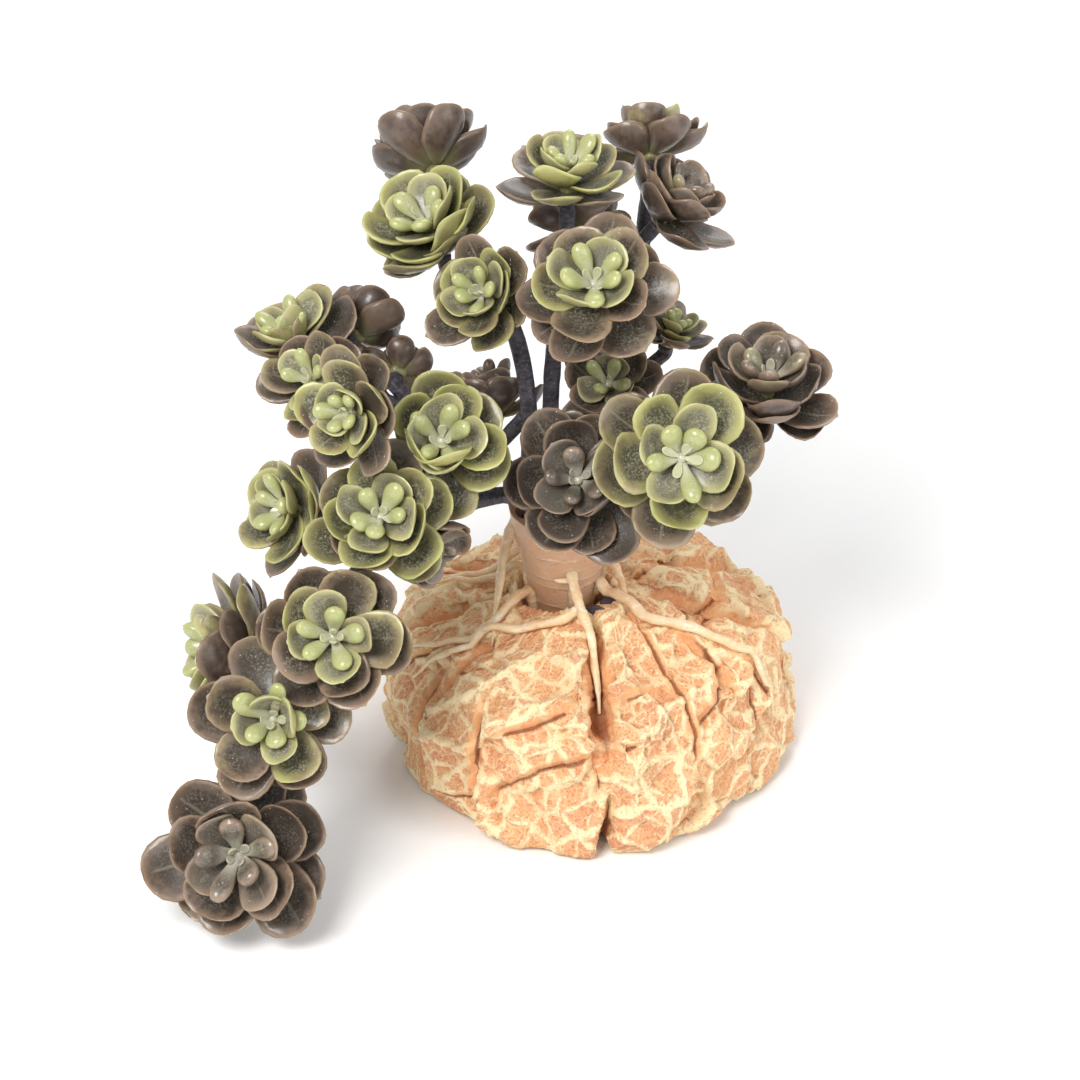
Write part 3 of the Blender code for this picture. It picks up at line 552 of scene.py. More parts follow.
def rockRelief(points, normals, sunk, aside):
    # How far each point rises along its normal, and the fields that colour it: large slabs, smaller flakes on
    # them, a fine raised net over both, the grooves, and painted shade in the hollows and deep clefts
    rng = np.random.default_rng(rock["seed"] + 1)
    pushed = points.copy()
    for push, length, seeds in rock["warps"]:
        pushed += push * np.stack([waves(points, length, seed) for seed in seeds], axis=1)
    front = [np.linalg.norm(points - centre, axis=1).argmin() for centre in slabCentres]
    slabs = spacedOut(points, rock["slabs"][0], front, rng)
    flakes = spacedOut(points, rock["flakes"][0], [], rng)
    relief, slabEdge, slab = plates(points, pushed, normals, slabs, rock["slabs"], rng)
    rise, flakeEdge, _ = plates(points, pushed, normals, flakes, rock["flakes"], rng)
    relief = (relief + rise) * (1.0 - 0.7 * smoothStep(0.5, 4.0, sunk)) - 0.4
    chosen = rng.choice(len(points), rock["netCells"], replace=False)
    net, cell, _ = cells(pushed, pushed[chosen])
    redness = rng.uniform(0.0, 1.0, rock["netCells"])[cell]
    relief -= rock["netSink"] * smoothStep(0.0, 0.6, net) * (0.5 + redness)
    redness = 0.55 * redness + 0.45 * rng.uniform(0.0, 1.0, len(slabs))[slab]
    relief += 0.05 * waves(points, 2.0, 8)
    sink, crack, bevel = grooveFields(points + rock["grooveWarp"] * (pushed - points))
    flank = smoothStep(-0.6, -1.6, aside) * smoothStep(24.0, 31.0, points[:, 2])
    bare = np.maximum(flank, smoothStep(0.10, 0.26, bevel))
    ridge = np.maximum(bell(aside - 0.2, 0.6), bell(bevel + 0.04, 0.20))
    relief = relief * (1.0 - 0.35 * bare) - sink + 0.10 * ridge
    # Painted shade for the hollows: the lower the relief, the darker the rock is coloured there
    hollowShade = 1.0 - smoothStep(-1.6, 0.2, relief)
    # Painted shade: clefts deeper than 4 mm get the dark crack colour, the darker the deeper they sink
    crack = np.minimum(crack, np.where(sunk > 4.0, 0.7 - 0.15 * (sunk - 4.0), 9.0))
    edge = np.minimum(slabEdge, flakeEdge + 0.25) - 0.35 * ridge
    return relief, {
        "edges": np.stack([np.clip(edge, -1.0, 3.0), np.clip(net, 0.0, 3.0), redness], axis=1),
        "flats": np.stack([np.clip(crack, 0.0, 3.0), bare, hollowShade], axis=1),
    }


def rockLook():
    # Sandstone: cream along the slabs' edges and the net's lines, redder cells, bare cut faces, and painted
    # shade in the cracks, deep clefts, hole mouth and hollows
    shader = Shader("rock")
    place = shader.place()
    slab, net, redness = shader.field("edges")
    crack, bare, hollowShade = shader.field("flats")
    grain = shader.noise(place, 1300.0, 4.0, 0.68)
    broad = shader.noise(place, 70.0, 3.0)
    middling = shader.noise(place, 330.0, 4.0, 0.6)
    fine = shader.net(shader.warped(place, 700.0, 0.0007), 540.0)
    slabLine = shader.fall(0.45, 1.15, slab + (grain - 0.5) * 1.6 + (middling - 0.5) * 2.2)
    netLine = shader.fall(0.08, 0.34, net + (grain - 0.5) * 0.6 + (middling - 0.5) * 0.7)
    fineLine = shader.fall(0.02, 0.13, fine + (grain - 0.5) * 0.2) * shader.rise(0.30, 0.55, middling)
    cream = shader.most(shader.most(slabLine, netLine * 0.82), fineLine * 0.36)
    # Painted shade: the hollows lose some of their cream
    cream = cream * (1.0 - bare * 0.70) * (1.0 - hollowShade * 0.35)
    red = shader.rise(0.40, 0.74, redness * 0.55 + broad * 0.50)
    dots = shader.rise(0.57, 0.64, shader.noise(place, 1800.0, 3.0, 0.7)) * (1.0 - bare * 0.6)
    # Painted shade: dark along the crack lines, in deep clefts and round the hole's mouth
    crackShade = shader.fall(0.20, 0.66, crack + (grain - 0.5) * 0.5)
    color = shader.painted(
        shader.blend(red, "efbd8f", "d99877"),
        (shader.fall(0.38, 0.60, grain), "db9a68"),
        (bare * 0.65, shader.blend(middling, "e39d64", "f3b883")),
        # painted shade in the hollows
        (hollowShade * 0.50, "cf8c5e"),
        (cream, "f6dfb2"),
        (dots * (0.72 - cream * 0.34), "b5714a"),
        # painted shade in the cracks, clefts and hole mouth
        (crackShade * 0.80, "7d3f24"),
    )
    height = cream * 0.8 + grain * 0.45 - dots * 0.5 + middling * 0.3
    bumps = shader.bump(height, 0.00030, 0.7)
    return shader.finish(color, 0.86 - cream * 0.12, bumps, Specular_IOR_Level=0.25)


def makeRock():
    rings, columns = rock["rings"], rock["columns"]
    polar, climbs = rockRings()
    facing = np.tile(np.arange(columns) * 2.0 * math.pi / columns, rings)
    climb = np.repeat(climbs, columns)
    points, sunk, aside = rockSurface(rockWays(facing, np.repeat(polar, columns)))
    normals = gridNormals(points, rings, columns)
    relief, fields = rockRelief(points, normals, sunk, aside)
    fade = 0.25 + 0.75 * smoothStep(0.0, 6.0, climb)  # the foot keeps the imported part's outline
    points += normals * (relief * fade)[:, None]
    off = np.hypot(points[:, 0] - rock["holeAt"][0], points[:, 1] - rock["holeAt"][1])
    ragged = off + 0.35 * waves(points, 6.0, 12)
    mouth = 1.0 - smoothStep(rock["holeRadius"], rock["holeMouth"], ragged)
    points[:, 2] -= rock["holeDepth"] * mouth
    # Painted shade: the hole's mouth round the trunk gets the dark crack colour
    fields["flats"][:, 0] = np.minimum(fields["flats"][:, 0], 1.4 - 1.6 * mouth)
    points[:, 2] = np.maximum(points[:, 2], 0.0)
    points[-columns:, 2] = 0.0
    shares = np.linspace(1.0, 0.0, rock["floorRings"] + 2)[1:-1]
    under = (points[-columns:][None, :, :] * shares[:, None, None]).reshape(-1, 3)
    top = points[:columns].mean(axis=0)
    allPoints = np.concatenate([[top], points, under, [[0.0, 0.0, 0.0]]])
    plain = np.tile([1.0, 1.0, 0.5], (len(under) + 1, 1))
    allFields = {name: np.concatenate([values[:1], values, plain]) for name, values in fields.items()}
    quads, triangles = tubeFaces(rings + rock["floorRings"], columns)
    quads, triangles = quads[:, ::-1], triangles[:, ::-1]
    addPiece("carvedRock", allPoints, quads, triangles, allFields, rockLook(), "rock", "rock_base")
    print("rock base:", len(quads), "quads")
    return surfaceTree(allPoints, quads, triangles)


# Paths and strands

def smoothPath(route, spans):
    # A Catmull-Rom curve through the route: each span is a cubic of its two points and their neighbours
    points = np.array(route, float)
    ends = np.concatenate([[2 * points[0] - points[1]], points, [2 * points[-1] - points[-2]]])
    share = np.linspace(0.0, 1.0, spans, endpoint=False)[None, :, None]
    before, first, last, after = (ends[i:len(ends) - 3 + i, None, :] for i in range(4))
    curve = 2 * first + (last - before) * share
    curve = curve + (2 * before - 5 * first + 4 * last - after) * share ** 2
    curve = curve + (3 * first - before - 3 * last + after) * share ** 3
    return np.concatenate([0.5 * curve.reshape(-1, 3), points[-1:]])


def pathFrames(path):
    # The direction of a path at each point, with two directions across it that are carried along untwisted
    ways = np.gradient(path, axis=0)
    ways /= np.linalg.norm(ways, axis=1)[:, None]
    side = np.cross(ways[0], (0.31, 0.17, 0.93) if abs(ways[0][2]) < 0.9 else (0.93, 0.31, 0.17))
    sides = []
    for way in ways:  # one step for each ring
        side = side - way * (side @ way)
        side = side / np.linalg.norm(side)
        sides.append(side)
    sides = np.array(sides)
    return ways, sides, np.cross(ways, sides)


def strand(path, radii, around, shape, phase):
    # A tube along a path: each ring is a circle in the plane across it, with its radius changed by
    # shape(angle, length, phase). The field is the turn, the length and the share along.
    ways, sides, ups = pathFrames(path)
    length = np.concatenate([[0.0], np.cumsum(np.linalg.norm(np.diff(path, axis=0), axis=1))])
    angle = np.arange(around) * 2.0 * math.pi / around
    radius = radii[:, None] * shape(angle[None, :], length[:, None], phase)
    ring = sides[:, None, :] * np.cos(angle)[None, :, None] + ups[:, None, :] * np.sin(angle)[None, :, None]
    points = (path[:, None, :] + ring * radius[:, :, None]).reshape(-1, 3)
    caps = [path[0] - ways[0] * radii[0] * 0.35, path[-1] + ways[-1] * radii[-1] * 0.8]
    points = np.concatenate([[caps[0]], points, [caps[1]]])
    turns, runs = np.broadcast_arrays(angle[None, :] / (2.0 * math.pi), length[:, None])
    field = np.stack([turns, runs, runs / length[-1]], axis=2).reshape(-1, 3)
    field = np.concatenate([field[:1], field, field[-1:]])
    return points, *tubeFaces(len(path), around), {"form": field}


def joined(parts):
    # Several parts as one, each of them points, quads, triangles and fields
    starts = np.cumsum([0] + [len(part[0]) for part in parts[:-1]])
    quads, triangles = (np.concatenate([part[column] + start for part, start in zip(parts, starts)])
                        for column in (1, 2))
    fields = {name: np.concatenate([part[3][name] for part in parts]) for name in parts[0][3]}
    return np.concatenate([part[0] for part in parts]), quads, triangles, fields


# Trunk and root strands

trunk = {
    "profile": ((24.5, 6.5), (32.0, 6.7), (38.0, 7.4), (46.0, 8.9), (54.0, 10.3), (61.0, 12.1), (65.6, 12.8)),
    "rings": 84, "around": 96, "topRings": 22,
    "seams": (36.5, 41.8, 48.0, 50.6, 57.0), "seamRise": 0.16, "seamWidth": 0.35, "seamStep": 0.10,
    "dome": 0.45, "discAbove": 65.0, "socketsAt": 66.0, "socketRadius": 2.5, "socketDepth": 4.2,
    # waves as shares of the radius, with how many go round the trunk and how fast they turn upwards
    "twists": ((0.018, 3.0, 0.12), (0.006, 7.0, -0.35)),
    # flutes, mostly behind: the same, with how far they sway to the sides and how fast
    "flutes": ((0.030, 5.0, 0.8, 0.16), (0.012, 11.0, 1.3, 0.24)),
}
roots = (
    # radius at the trunk, then x, y and height above the rock along its route
    (1.25, ((-15.0, 1.6, 21.0), (-18.0, 1.0, 15.5), (-20.0, -1.0, 9.0), (-21.0, -6.0, 3.0),
            (-22.5, -15.0, 0.0))),
    (1.1, ((-10.5, 0.0, 6.0), (-15.2, -4.6, 2.0), (-20.0, -10.4, 0.2), (-25.0, -14.6, 0.0),
           (-33.0, -16.6, 0.0), (-41.0, -13.6, 0.0))),
    (1.1, ((-2.4, -14.4, 1.6), (-6.0, -15.6, 0.3), (-14.0, -15.0, 0.0), (-24.0, -14.4, 0.4),
           (-34.0, -13.0, 0.0), (-42.5, -8.0, 0.0))),
    (1.0, ((-11.0, 5.0, 9.0), (-18.0, 8.0, 4.0), (-26.0, 13.0, 0.0), (-35.0, 19.0, 0.0))),
    (1.0, ((-11.0, 5.0, 3.0), (-18.0, 7.0, 1.0), (-27.0, 10.0, 0.0), (-37.0, 15.0, 0.0))),
    (1.3, ((-4.6, -4.0, 9.4), (-4.3, -8.0, 7.8), (-3.4, -11.5, 4.6), (-2.1, -15.3, 1.4),
           (0.0, -19.8, 0.0), (1.6, -26.0, 0.0), (2.0, -31.0, 0.0))),
    (1.3, ((-1.0, 2.0, 12.0), (3.6, 0.4, 9.5), (6.6, -2.0, 4.5), (8.4, -6.0, 0.0))),
    (1.3, ((-1.0, 0.5, 15.0), (3.2, -3.4, 0.8), (8.8, -8.8, 0.1), (16.0, -11.4, 0.0),
           (25.0, -13.0, 0.0), (34.0, -15.6, 0.0), (39.5, -15.0, 0.4), (43.0, -13.6, 3.0))),
)
rootTaper = 0.75
rootClear = 0.10
rootAround = 14
rayStart = 200.0  # above the whole part
lumps = (
    # centre, half sizes, and what it is made of: 1 root, 2 clear glue
    ((1.0, -9.6, 42.9), (3.4, 2.4, 1.5), 2.0),
    ((4.2, -5.6, 43.0), (2.0, 2.0, 1.3), 2.0),
    ((-13.6, 0.6, 51.5), (1.5, 1.2, 6.0), 1.0),
    ((-5.8, -8.5, 51.2), (2.5, 0.7, 0.7), 1.0),
    ((-13.2, -3.4, 36.8), (1.7, 1.2, 1.7), 1.0),
    ((1.7, 0.2, 43.6), (1.3, 1.0, 1.1), 1.0),
    ((-16.0, 2.0, 56.6), (1.8, 1.1, 3.4), 1.0),
    ((-14.2, 0.4, 47.0), (1.2, 0.9, 3.6), 1.0),
)


def heightOn(tree, x, y):
    found = tree.ray_cast(Vector((x, y, rayStart)), Vector((0.0, 0.0, -1.0)))
    return found[0].z if found[0] else 0.0


def rootPath(radius, route, ground):
    # Lies on the highest rock within the strand's width, plus the height that the route gives
    line = smoothPath(route, 6)
    share = np.linspace(0.0, 1.0, len(line))
    radii = radius * (1.0 - rootTaper * share ** 3)
    path = []
    for (x, y, lift), thick in zip(line, radii):
        nearby = [(x + thick * a, y + thick * b) for a in (-1, 0, 1) for b in (-1, 0, 1)]
        floor = max(heightOn(ground, *spot) for spot in nearby)
        path.append((x, y, floor + thick + rootClear + max(lift, 0.0)))
    path = np.array(path)
    path[1:-1, 2] = np.maximum(path[1:-1, 2], 0.5 * (path[:-2, 2] + path[2:, 2]))
    return path, radii


def knotted(turn, run, phase):
    # A root strand swells and narrows along its length, and is a little flat in turn
    swell = 0.09 * np.sin(run * 1.1 + phase) + 0.06 * np.sin(run * 2.7 + 2.0 * phase)
    return 1.0 + swell + 0.10 * np.sin(2.0 * turn + run * 0.5 + phase)


def lump(centre, halves, kind):
    # A rounded drop with an uneven surface: a ball whose radius waves a little
    polar, around = np.linspace(0.0, math.pi, 12)[1:-1], 16
    turn = np.tile(np.arange(around) * 2.0 * math.pi / around, len(polar))
    ways = rockWays(turn, np.repeat(polar, around))
    ways = np.concatenate([[(0.0, 0.0, 1.0)], ways, [(0.0, 0.0, -1.0)]])
    points = ways * halves * (1.0 + 0.08 * waves(ways * 3.0 + centre, 3.0, 21))[:, None] + centre
    quads, triangles = tubeFaces(len(polar), around)
    field = np.tile([kind, 0.0, 0.0], (len(points), 1))
    return points, quads[:, ::-1], triangles[:, ::-1], {"form": field}


def trunkLook():
    # Tan moulding with paler seams, streaks and bloom and dark specks; cream strands with pale streaks that
    # are partly painted highlight; dark, shiny glue
    shader = Shader("trunk")
    place = shader.place()
    height = shader.node("ShaderNodeSeparateXYZ", {}, [place], 2)
    kind = shader.field("form")[0]
    cloud = shader.noise(place, 120.0, 4.0)
    squashed = shader.node("ShaderNodeVectorMath", {"operation": "MULTIPLY"}, [place, (1.0, 1.0, 3.0)])
    streak = shader.noise(squashed, 260.0, 5.0, 0.65, 0.8)
    grain = shader.noise(place, 1100.0, 4.0, 0.65)
    low = shader.fall(0.036, 0.050, height + (cloud - 0.5) * 0.012)
    seam = 0.0
    for level in trunk["seams"]:
        seam = seam + shader.fall(0.00012, 0.00045, abs(height - level * mm + (cloud - 0.5) * 0.0025))
    specks = shader.rise(0.66, 0.73, shader.noise(place, 1300.0, 2.0))
    bloom = shader.rise(0.64, 0.72, shader.noise(place, 620.0, 3.0, 0.6))
    glue = shader.rise(1.4, 1.6, kind)
    body = shader.painted(
        shader.blend(low, "cba384", "bf9672"),
        (shader.rise(0.42, 0.75, streak) * 0.45, "dabfa5"),
        (shader.rise(0.55, 0.75, cloud) * 0.5, "c49b77"),
        (seam * shader.rise(0.40, 0.60, streak) * 0.45, "e4cfb6"),
        (specks * 0.75, "6f4c38"),
        (bloom * 0.6, "e6d0bb"),
    )
    strands = shader.painted(
        shader.blend(shader.rise(0.3, 0.75, cloud), "efd5ae", "dfb98c"),
        # pale streaks on the strands: partly their own grain, partly painted highlight
        (shader.rise(0.45, 0.70, streak) * 0.75, "f8ebd8"),
    )
    color = shader.painted(body, (shader.rise(0.4, 0.6, kind), strands), (glue, "48434f"))
    relief = (streak * 0.5 + cloud * 0.4 + grain * 0.35 + seam * 0.3) * (1.0 - glue * 0.95)
    bumps = shader.bump(relief, 0.00028, 0.9)
    roughness = (0.30 + streak * 0.20) * (1.0 - glue * 0.85)
    return shader.finish(color, roughness, bumps, Subsurface_Weight=0.3, Subsurface_Scale=0.003,
                         Subsurface_Radius=(1.0, 0.6, 0.35), IOR=1.48)


def trunkRings():
    # The height and radius of each ring, with a low ridge and a step at each seam, and a domed top disc
    heights = np.linspace(trunk["profile"][0][0], trunk["profile"][-1][0], trunk["rings"])
    radii = np.interp(heights, *zip(*trunk["profile"]))
    for seam in trunk["seams"]:
        radii = radii + trunk["seamRise"] * bell(heights - seam, trunk["seamWidth"])
        radii = radii + trunk["seamStep"] * (smoothStep(seam - 0.2, seam + 0.2, heights) - 0.5)
    shares = np.cos(np.linspace(0.0, 0.5 * math.pi, trunk["topRings"] + 2))[1:-1]
    domed = heights[-1] + trunk["dome"] * np.sqrt(1.0 - shares ** 2)
    return np.concatenate([heights, domed]), np.concatenate([radii, radii[-1] * shares])


def trunkBody():
    # The rings round the hole's axis, with twists, flutes and a socket pressed into the top for each stem
    rings, radii = trunkRings()
    heights = rings[:, None]
    angle = np.arange(trunk["around"])[None, :] * 2.0 * math.pi / trunk["around"]
    behind = 0.3 + 0.7 * smoothStep(-0.5, 0.6, np.sin(angle))  # the front is smoother
    wobble = 1.0
    for share, count, lean in trunk["twists"]:
        wobble = wobble + share * np.sin(count * angle + heights * lean)
    for share, count, sway, pace in trunk["flutes"]:
        wobble = wobble + behind * share * np.sin(count * angle + sway * np.sin(heights * pace))
    radius = radii[:, None] * wobble
    x, y = (middle + radius * way for middle, way in zip(rock["holeAt"], (np.cos(angle), np.sin(angle))))
    points = np.stack([x, y, np.repeat(heights, trunk["around"], axis=1)], axis=2).reshape(-1, 3)
    upper = points[:, 2] > trunk["discAbove"]
    for route, _, _ in stems.values():
        foot, following = np.array(route[0]), np.array(route[1])
        spot = foot + (following - foot) * (trunk["socketsAt"] - foot[2]) / (following[2] - foot[2])
        off = np.hypot(points[:, 0] - spot[0], points[:, 1] - spot[1])
        pressed = 1.0 - smoothStep(trunk["socketRadius"] - 0.3, trunk["socketRadius"] + 0.5, off)
        points[:, 2] -= np.where(upper, trunk["socketDepth"] * pressed, 0.0)
    points = np.concatenate([[(*rock["holeAt"], rings[0])], points, [(*rock["holeAt"], rings[-1] + 0.02)]])
    return points, *tubeFaces(len(rings), trunk["around"]), {"form": np.zeros((len(points), 3))}


def makeTrunk(ground):
    # The field's first part is 0 on the trunk, 1 on the strands and root stubs, and 2 on the glue
    parts = [trunkBody()]
    for number, (radius, route) in enumerate(roots):
        path, radii = rootPath(radius, route, ground)
        part = strand(path, radii, rootAround, knotted, number)
        part[3]["form"][:, 0] = 1.0
        parts.append(part)
    parts += [lump(*drop) for drop in lumps]
    addPiece("trunkAndRoots", *joined(parts), trunkLook(), "trunk", "trunk_roots")
    print("trunk and", len(roots), "root strands")


# Rosettes

form = {
    "heartRise": 6.5, "nominalReach": 13.0, "seed": 41,
    "widest": 0.60, "endPower": 2.4, "foot": 0.30, "shoulder": 1.4, "beanWidest": 0.68, "beanFoot": 0.40,
    "lip": 0.20, "rimPower": 5.0, "coreHeight": 8.0, "coreAround": 20, "smallReach": 12.6, "largeReach": 15.4,
    "clearance": 0.12, "folds": (0, 9, 18, 28, 38, -9, -18), "steepest": 58.0,
    "shrinks": (1.0, 0.86, 0.72, 0.6),
}
# How far chance moves each part of a leaf, with what is added for a bean
scatter = {"turn": (0.12, 0.12), "length": (0.12, 0.05), "width": (0.11, 0.06), "rise": (9.0, 3.0),
           "start": 0.12, "root": 0.4, "curl": 0.3, "cup": 0.35, "shade": 0.20}
whorls = (
    # leaves, root height, length, width, thickness, rise, curl, cup, and 1 for a bean, the thick kind near
    # the heart. The first whorl hangs below the others, and only the large rosettes have it.
    (4, 0.9, 12.4, 9.6, 1.2, -12.0, 18.0, 0.20, 0.0),
    (6, 1.7, 14.6, 10.6, 1.3, 0.0, 23.0, 0.22, 0.0),
    (5, 3.9, 12.6, 9.9, 1.2, 11.0, 22.0, 0.26, 0.0),
    (4, 5.6, 9.8, 7.7, 1.15, 25.0, 18.0, 0.26, 0.0),
    (5, 7.2, 7.4, 3.6, 2.5, 38.0, 8.0, 0.0, 1.0),
    (4, 7.8, 3.0, 1.6, 0.6, 46.0, 14.0, 0.3, 0.4),
)
greening = (-0.40, -0.22, 0.05, 0.40, 0.70, 0.80)  # how much greener each whorl is than its rosette
rosettes = {
    # heart x, y, z, reach, facing azimuth and elevation, turn, closing, and greenness: 0 is brown, and below
    # it darker, which on rosette_12 is painted shade from the rosettes over it
    "rosette_01": (-37, 38, 138, 15.0, 112, 36, 10, 14, -0.25),
    "rosette_02": (-36, 14, 131, 16.0, -150, 68, 40, 8, 0.85),
    "rosette_03": (-24, -4, 124, 13.0, -126, 41, 20, 10, 0.65),
    "rosette_04": (0, -16, 133, 16.0, -95, 54, 0, 2, 0.38),
    "rosette_05": (-5, 6, 149, 14.0, -10, 87, 30, 6, 0.55),
    "rosette_06": (13, 36, 142, 12.5, 90, 44, 15, 4, 0.10),
    "rosette_07": (19, 20, 134, 14.0, 3, 52, 50, 8, 0.0),
    "rosette_08": (19, 22, 100, 8.5, 1, 69, 0, 10, 0.45),
    "rosette_09": (39, -4, 101, 16.5, -90, 79, 18, 4, 0.02),
    "rosette_10": (4, 6, 95, 12.5, -99, 51, 60, 6, 0.25),
    "rosette_11": (19, -28, 97, 18.0, -83, 37, 8, -2, 0.68),
    "rosette_12": (-3, -20, 86, 16.0, -98, 42, 58, 3, -0.40),
    "rosette_13": (-33, -23, 98, 16.0, -84, 46, 25, 6, 0.86),
    "rosette_14": (-23, 12, 88, 12.5, 100, 50, 5, 14, 0.0),
    "rosette_15": (-67, 8, 106, 14.5, -174, 69, 12, 6, 0.50),
    "rosette_16": (-53, 16, 105, 11.5, 81, 13, 33, 10, 0.0),
    "rosette_17": (-62, -4, 102, 12.0, -120, 45, 28, 8, 0.45),
    "rosette_18": (-52, -30, 110, 13.0, -124, 26, 50, 12, 0.50),
    "rosette_19": (-44, 12, 96, 8.0, 90, 7, 0, 8, 0.0),
    "rosette_20": (-67, -24, 81, 14.0, -147, 27, 22, 6, 0.65),
    "rosette_21": (-46, -38, 88, 15.5, -90, 49, 14, 2, 0.76),
    "rosette_22": (-81, -38, 53, 17.5, -172, 9, 0, 8, 0.50),
    "rosette_23": (-56, -54, 68, 16.0, -86, 37, 36, 2, 0.36),
    "rosette_24": (-69, -62, 52, 16.0, -94, 34, 55, 0, 0.35),
    "rosette_25": (-77, -72, 23, 19.0, -97, 28, 9, 2, 0.0),
    "rosette_26": (-4, 17, 132, 11.0, 100, 30, 0, 0, 0.0),
    "rosette_27": (-36, -32, 77, 11.0, -55, -11, 0, 0, 0.0),
    "rosette_28": (3, 44, 98, 12.0, 80, 35, 20, 4, 0.35),
    "rosette_29": (-30, 30, 74, 11.0, 110, 25, 45, 4, 0.25),
}
brownRosettes = ("rosette_01", "rosette_06", "rosette_07", "rosette_09", "rosette_12", "rosette_14",
                 "rosette_16", "rosette_19", "rosette_25", "rosette_26", "rosette_27")
shallowBrown = ("rosette_12", "rosette_25")  # the other brown ones have deeper bowls


def rosetteFrame(name):
    # The seat of a rosette's nub, its axis, a matrix that turns its own +Z to its facing, and its size
    x, y, z, reach, azimuth, elevation, turn = rosettes[name][:7]
    around, over = math.radians(azimuth), math.radians(elevation)
    axis = Vector((math.cos(over) * math.cos(around), math.cos(over) * math.sin(around), math.sin(over)))
    size = reach / form["nominalReach"]
    seat = Vector((x, y, z)) - axis * (form["heartRise"] * size)
    spin = axis.to_track_quat("Z", "Y").to_matrix() @ Matrix.Rotation(math.radians(turn), 3, "Z")
    return np.array(seat), np.array(axis), np.array(spin), size


def leafGrid():
    # For each point of a leaf its share along and across, and 1 on the upper side, -1 on the lower side and
    # 0 on the rim. Points lie closer together towards the rim and the round tip.
    widest = form["widest"]
    tip = np.sin(np.radians([22.0, 43.0, 60.0, 73.0, 82.0]))
    along = np.concatenate([[0.02, 0.16, 0.31, 0.46, widest], widest + (1.0 - widest) * tip])
    across = np.array([1.0, 0.93, 0.76, 0.40, 0.0, -0.40, -0.76, -0.93, -1.0, -0.88, -0.5, 0.0, 0.5, 0.88])
    upper = np.sign(np.array([0, 1, 1, 1, 1, 1, 1, 1, 0, -1, -1, -1, -1, -1]))
    alongAll = np.concatenate([[0.0], np.repeat(along, len(across)), [1.0]])
    acrossAll = np.concatenate([[0.0], np.tile(across, len(along)), [0.0]])
    upperAll = np.concatenate([[0.0], np.tile(upper, len(along)), [0.0]])
    quads, triangles = tubeFaces(len(along), len(across))
    return alongAll, acrossAll, upperAll, quads, triangles


leafAlong, leafAcross, leafUpper, leafQuads, leafTriangles = leafGrid()
leafBeyond = np.clip((leafAlong - form["widest"]) / (1.0 - form["widest"]), 0.0, 1.0)
leafRim = np.hypot(leafBeyond, leafAcross * np.sqrt(1.0 - leafBeyond ** 2))  # 0 at the middle, 1 at the rim
# Nearness to the middle line, below 0 on the lower side, then the share along and the nearness to the rim
leafShape = np.stack([leafUpper * (1.0 - np.abs(leafAcross)), leafAlong, leafRim], axis=1)


def leafPoints(leaf):
    # The middle line is an arc that rises from root to tip. The half width swells to a broad end, where it
    # follows one minus a power of the share beyond the widest place. The blade is a dish: it lifts with the
    # square of the distance to its middle, has a low lip inside the rim, rolls about its middle line, and its
    # rim waves. A bean has an oval cross-section instead.
    turn, out, height, length, width, thick, rise, curl, cup, bean, roll, wave, point = leaf
    widest = form["widest"] + (form["beanWidest"] - form["widest"]) * bean
    foot = form["foot"] + (form["beanFoot"] - form["foot"]) * bean
    along = np.where(leafAlong < form["widest"], leafAlong * widest / form["widest"],
                     widest + (1.0 - widest) * leafBeyond)
    swell = np.sin(0.5 * math.pi * np.clip(along / widest, 0.0, 1.0)) ** (form["shoulder"] + 1.1 * bean)
    end = np.clip(1.0 - leafBeyond ** form["endPower"], 0.0, 1.0) ** 0.48
    spread = np.where(leafBeyond > 0.0, end, foot + (1.0 - foot) * swell) * (leafAlong > 0.0)
    opened = np.where(leafBeyond > 0.0, 1.0, np.minimum(spread * 1.2, 1.0))
    half = 0.5 * width * spread * (1.0 + 0.035 * np.sin(9.0 * along + 7.0 * wave) * (1.0 - bean))
    across = leafAcross * np.sqrt(1.0 - leafBeyond ** 2)
    even = np.sqrt(np.clip(1.0 - leafRim ** form["rimPower"], 0.0, 1.0)) * (1.0 - 0.25 * along)
    blade = 0.5 * thick * even * np.minimum(spread * 1.5, 1.0)
    lower = blade * (1.0 + 0.5 * (1.0 - leafRim ** 2))
    upper = blade + form["lip"] * (smoothStep(0.45, 0.93, leafRim) - 0.8) * even
    head = smoothStep(0.25, 0.75, along)
    oval = 0.5 * thick * spread * np.sqrt(1.0 - leafAcross ** 2) * (0.65 + 0.35 * head)
    flat = np.where(leafUpper > 0.0, upper, -lower) * (leafUpper != 0.0)
    lift = flat * (1.0 - bean) + leafUpper * oval * bean
    lift = lift + cup * 0.5 * width * leafRim ** 2 * opened
    lift = lift + 0.06 * width * leafRim ** 3 * np.sin(5.0 * along + 2.5 * across + 9.0 * wave) * (1.0 - bean)
    side = half * leafAcross * (1.0 + 0.06 * wave * np.sign(leafAcross))
    lean = math.radians(roll)
    side, lift = side * math.cos(lean) - lift * math.sin(lean), side * math.sin(lean) + lift * math.cos(lean)
    reach = np.where(leafAlong >= 1.0, 1.0 + point, along)
    start, bend = math.radians(rise), math.radians(curl) + 1e-6
    angle = start + bend * reach
    run = length / bend * (np.sin(angle) - math.sin(start))
    climb = length / bend * (math.cos(start) - np.cos(angle))
    x = out + run - np.sin(angle) * lift
    z = height + climb + np.cos(angle) * lift
    cosine, sine = math.cos(turn), math.sin(turn)
    return np.stack([cosine * x - sine * side, sine * x + cosine * side, z], axis=1)


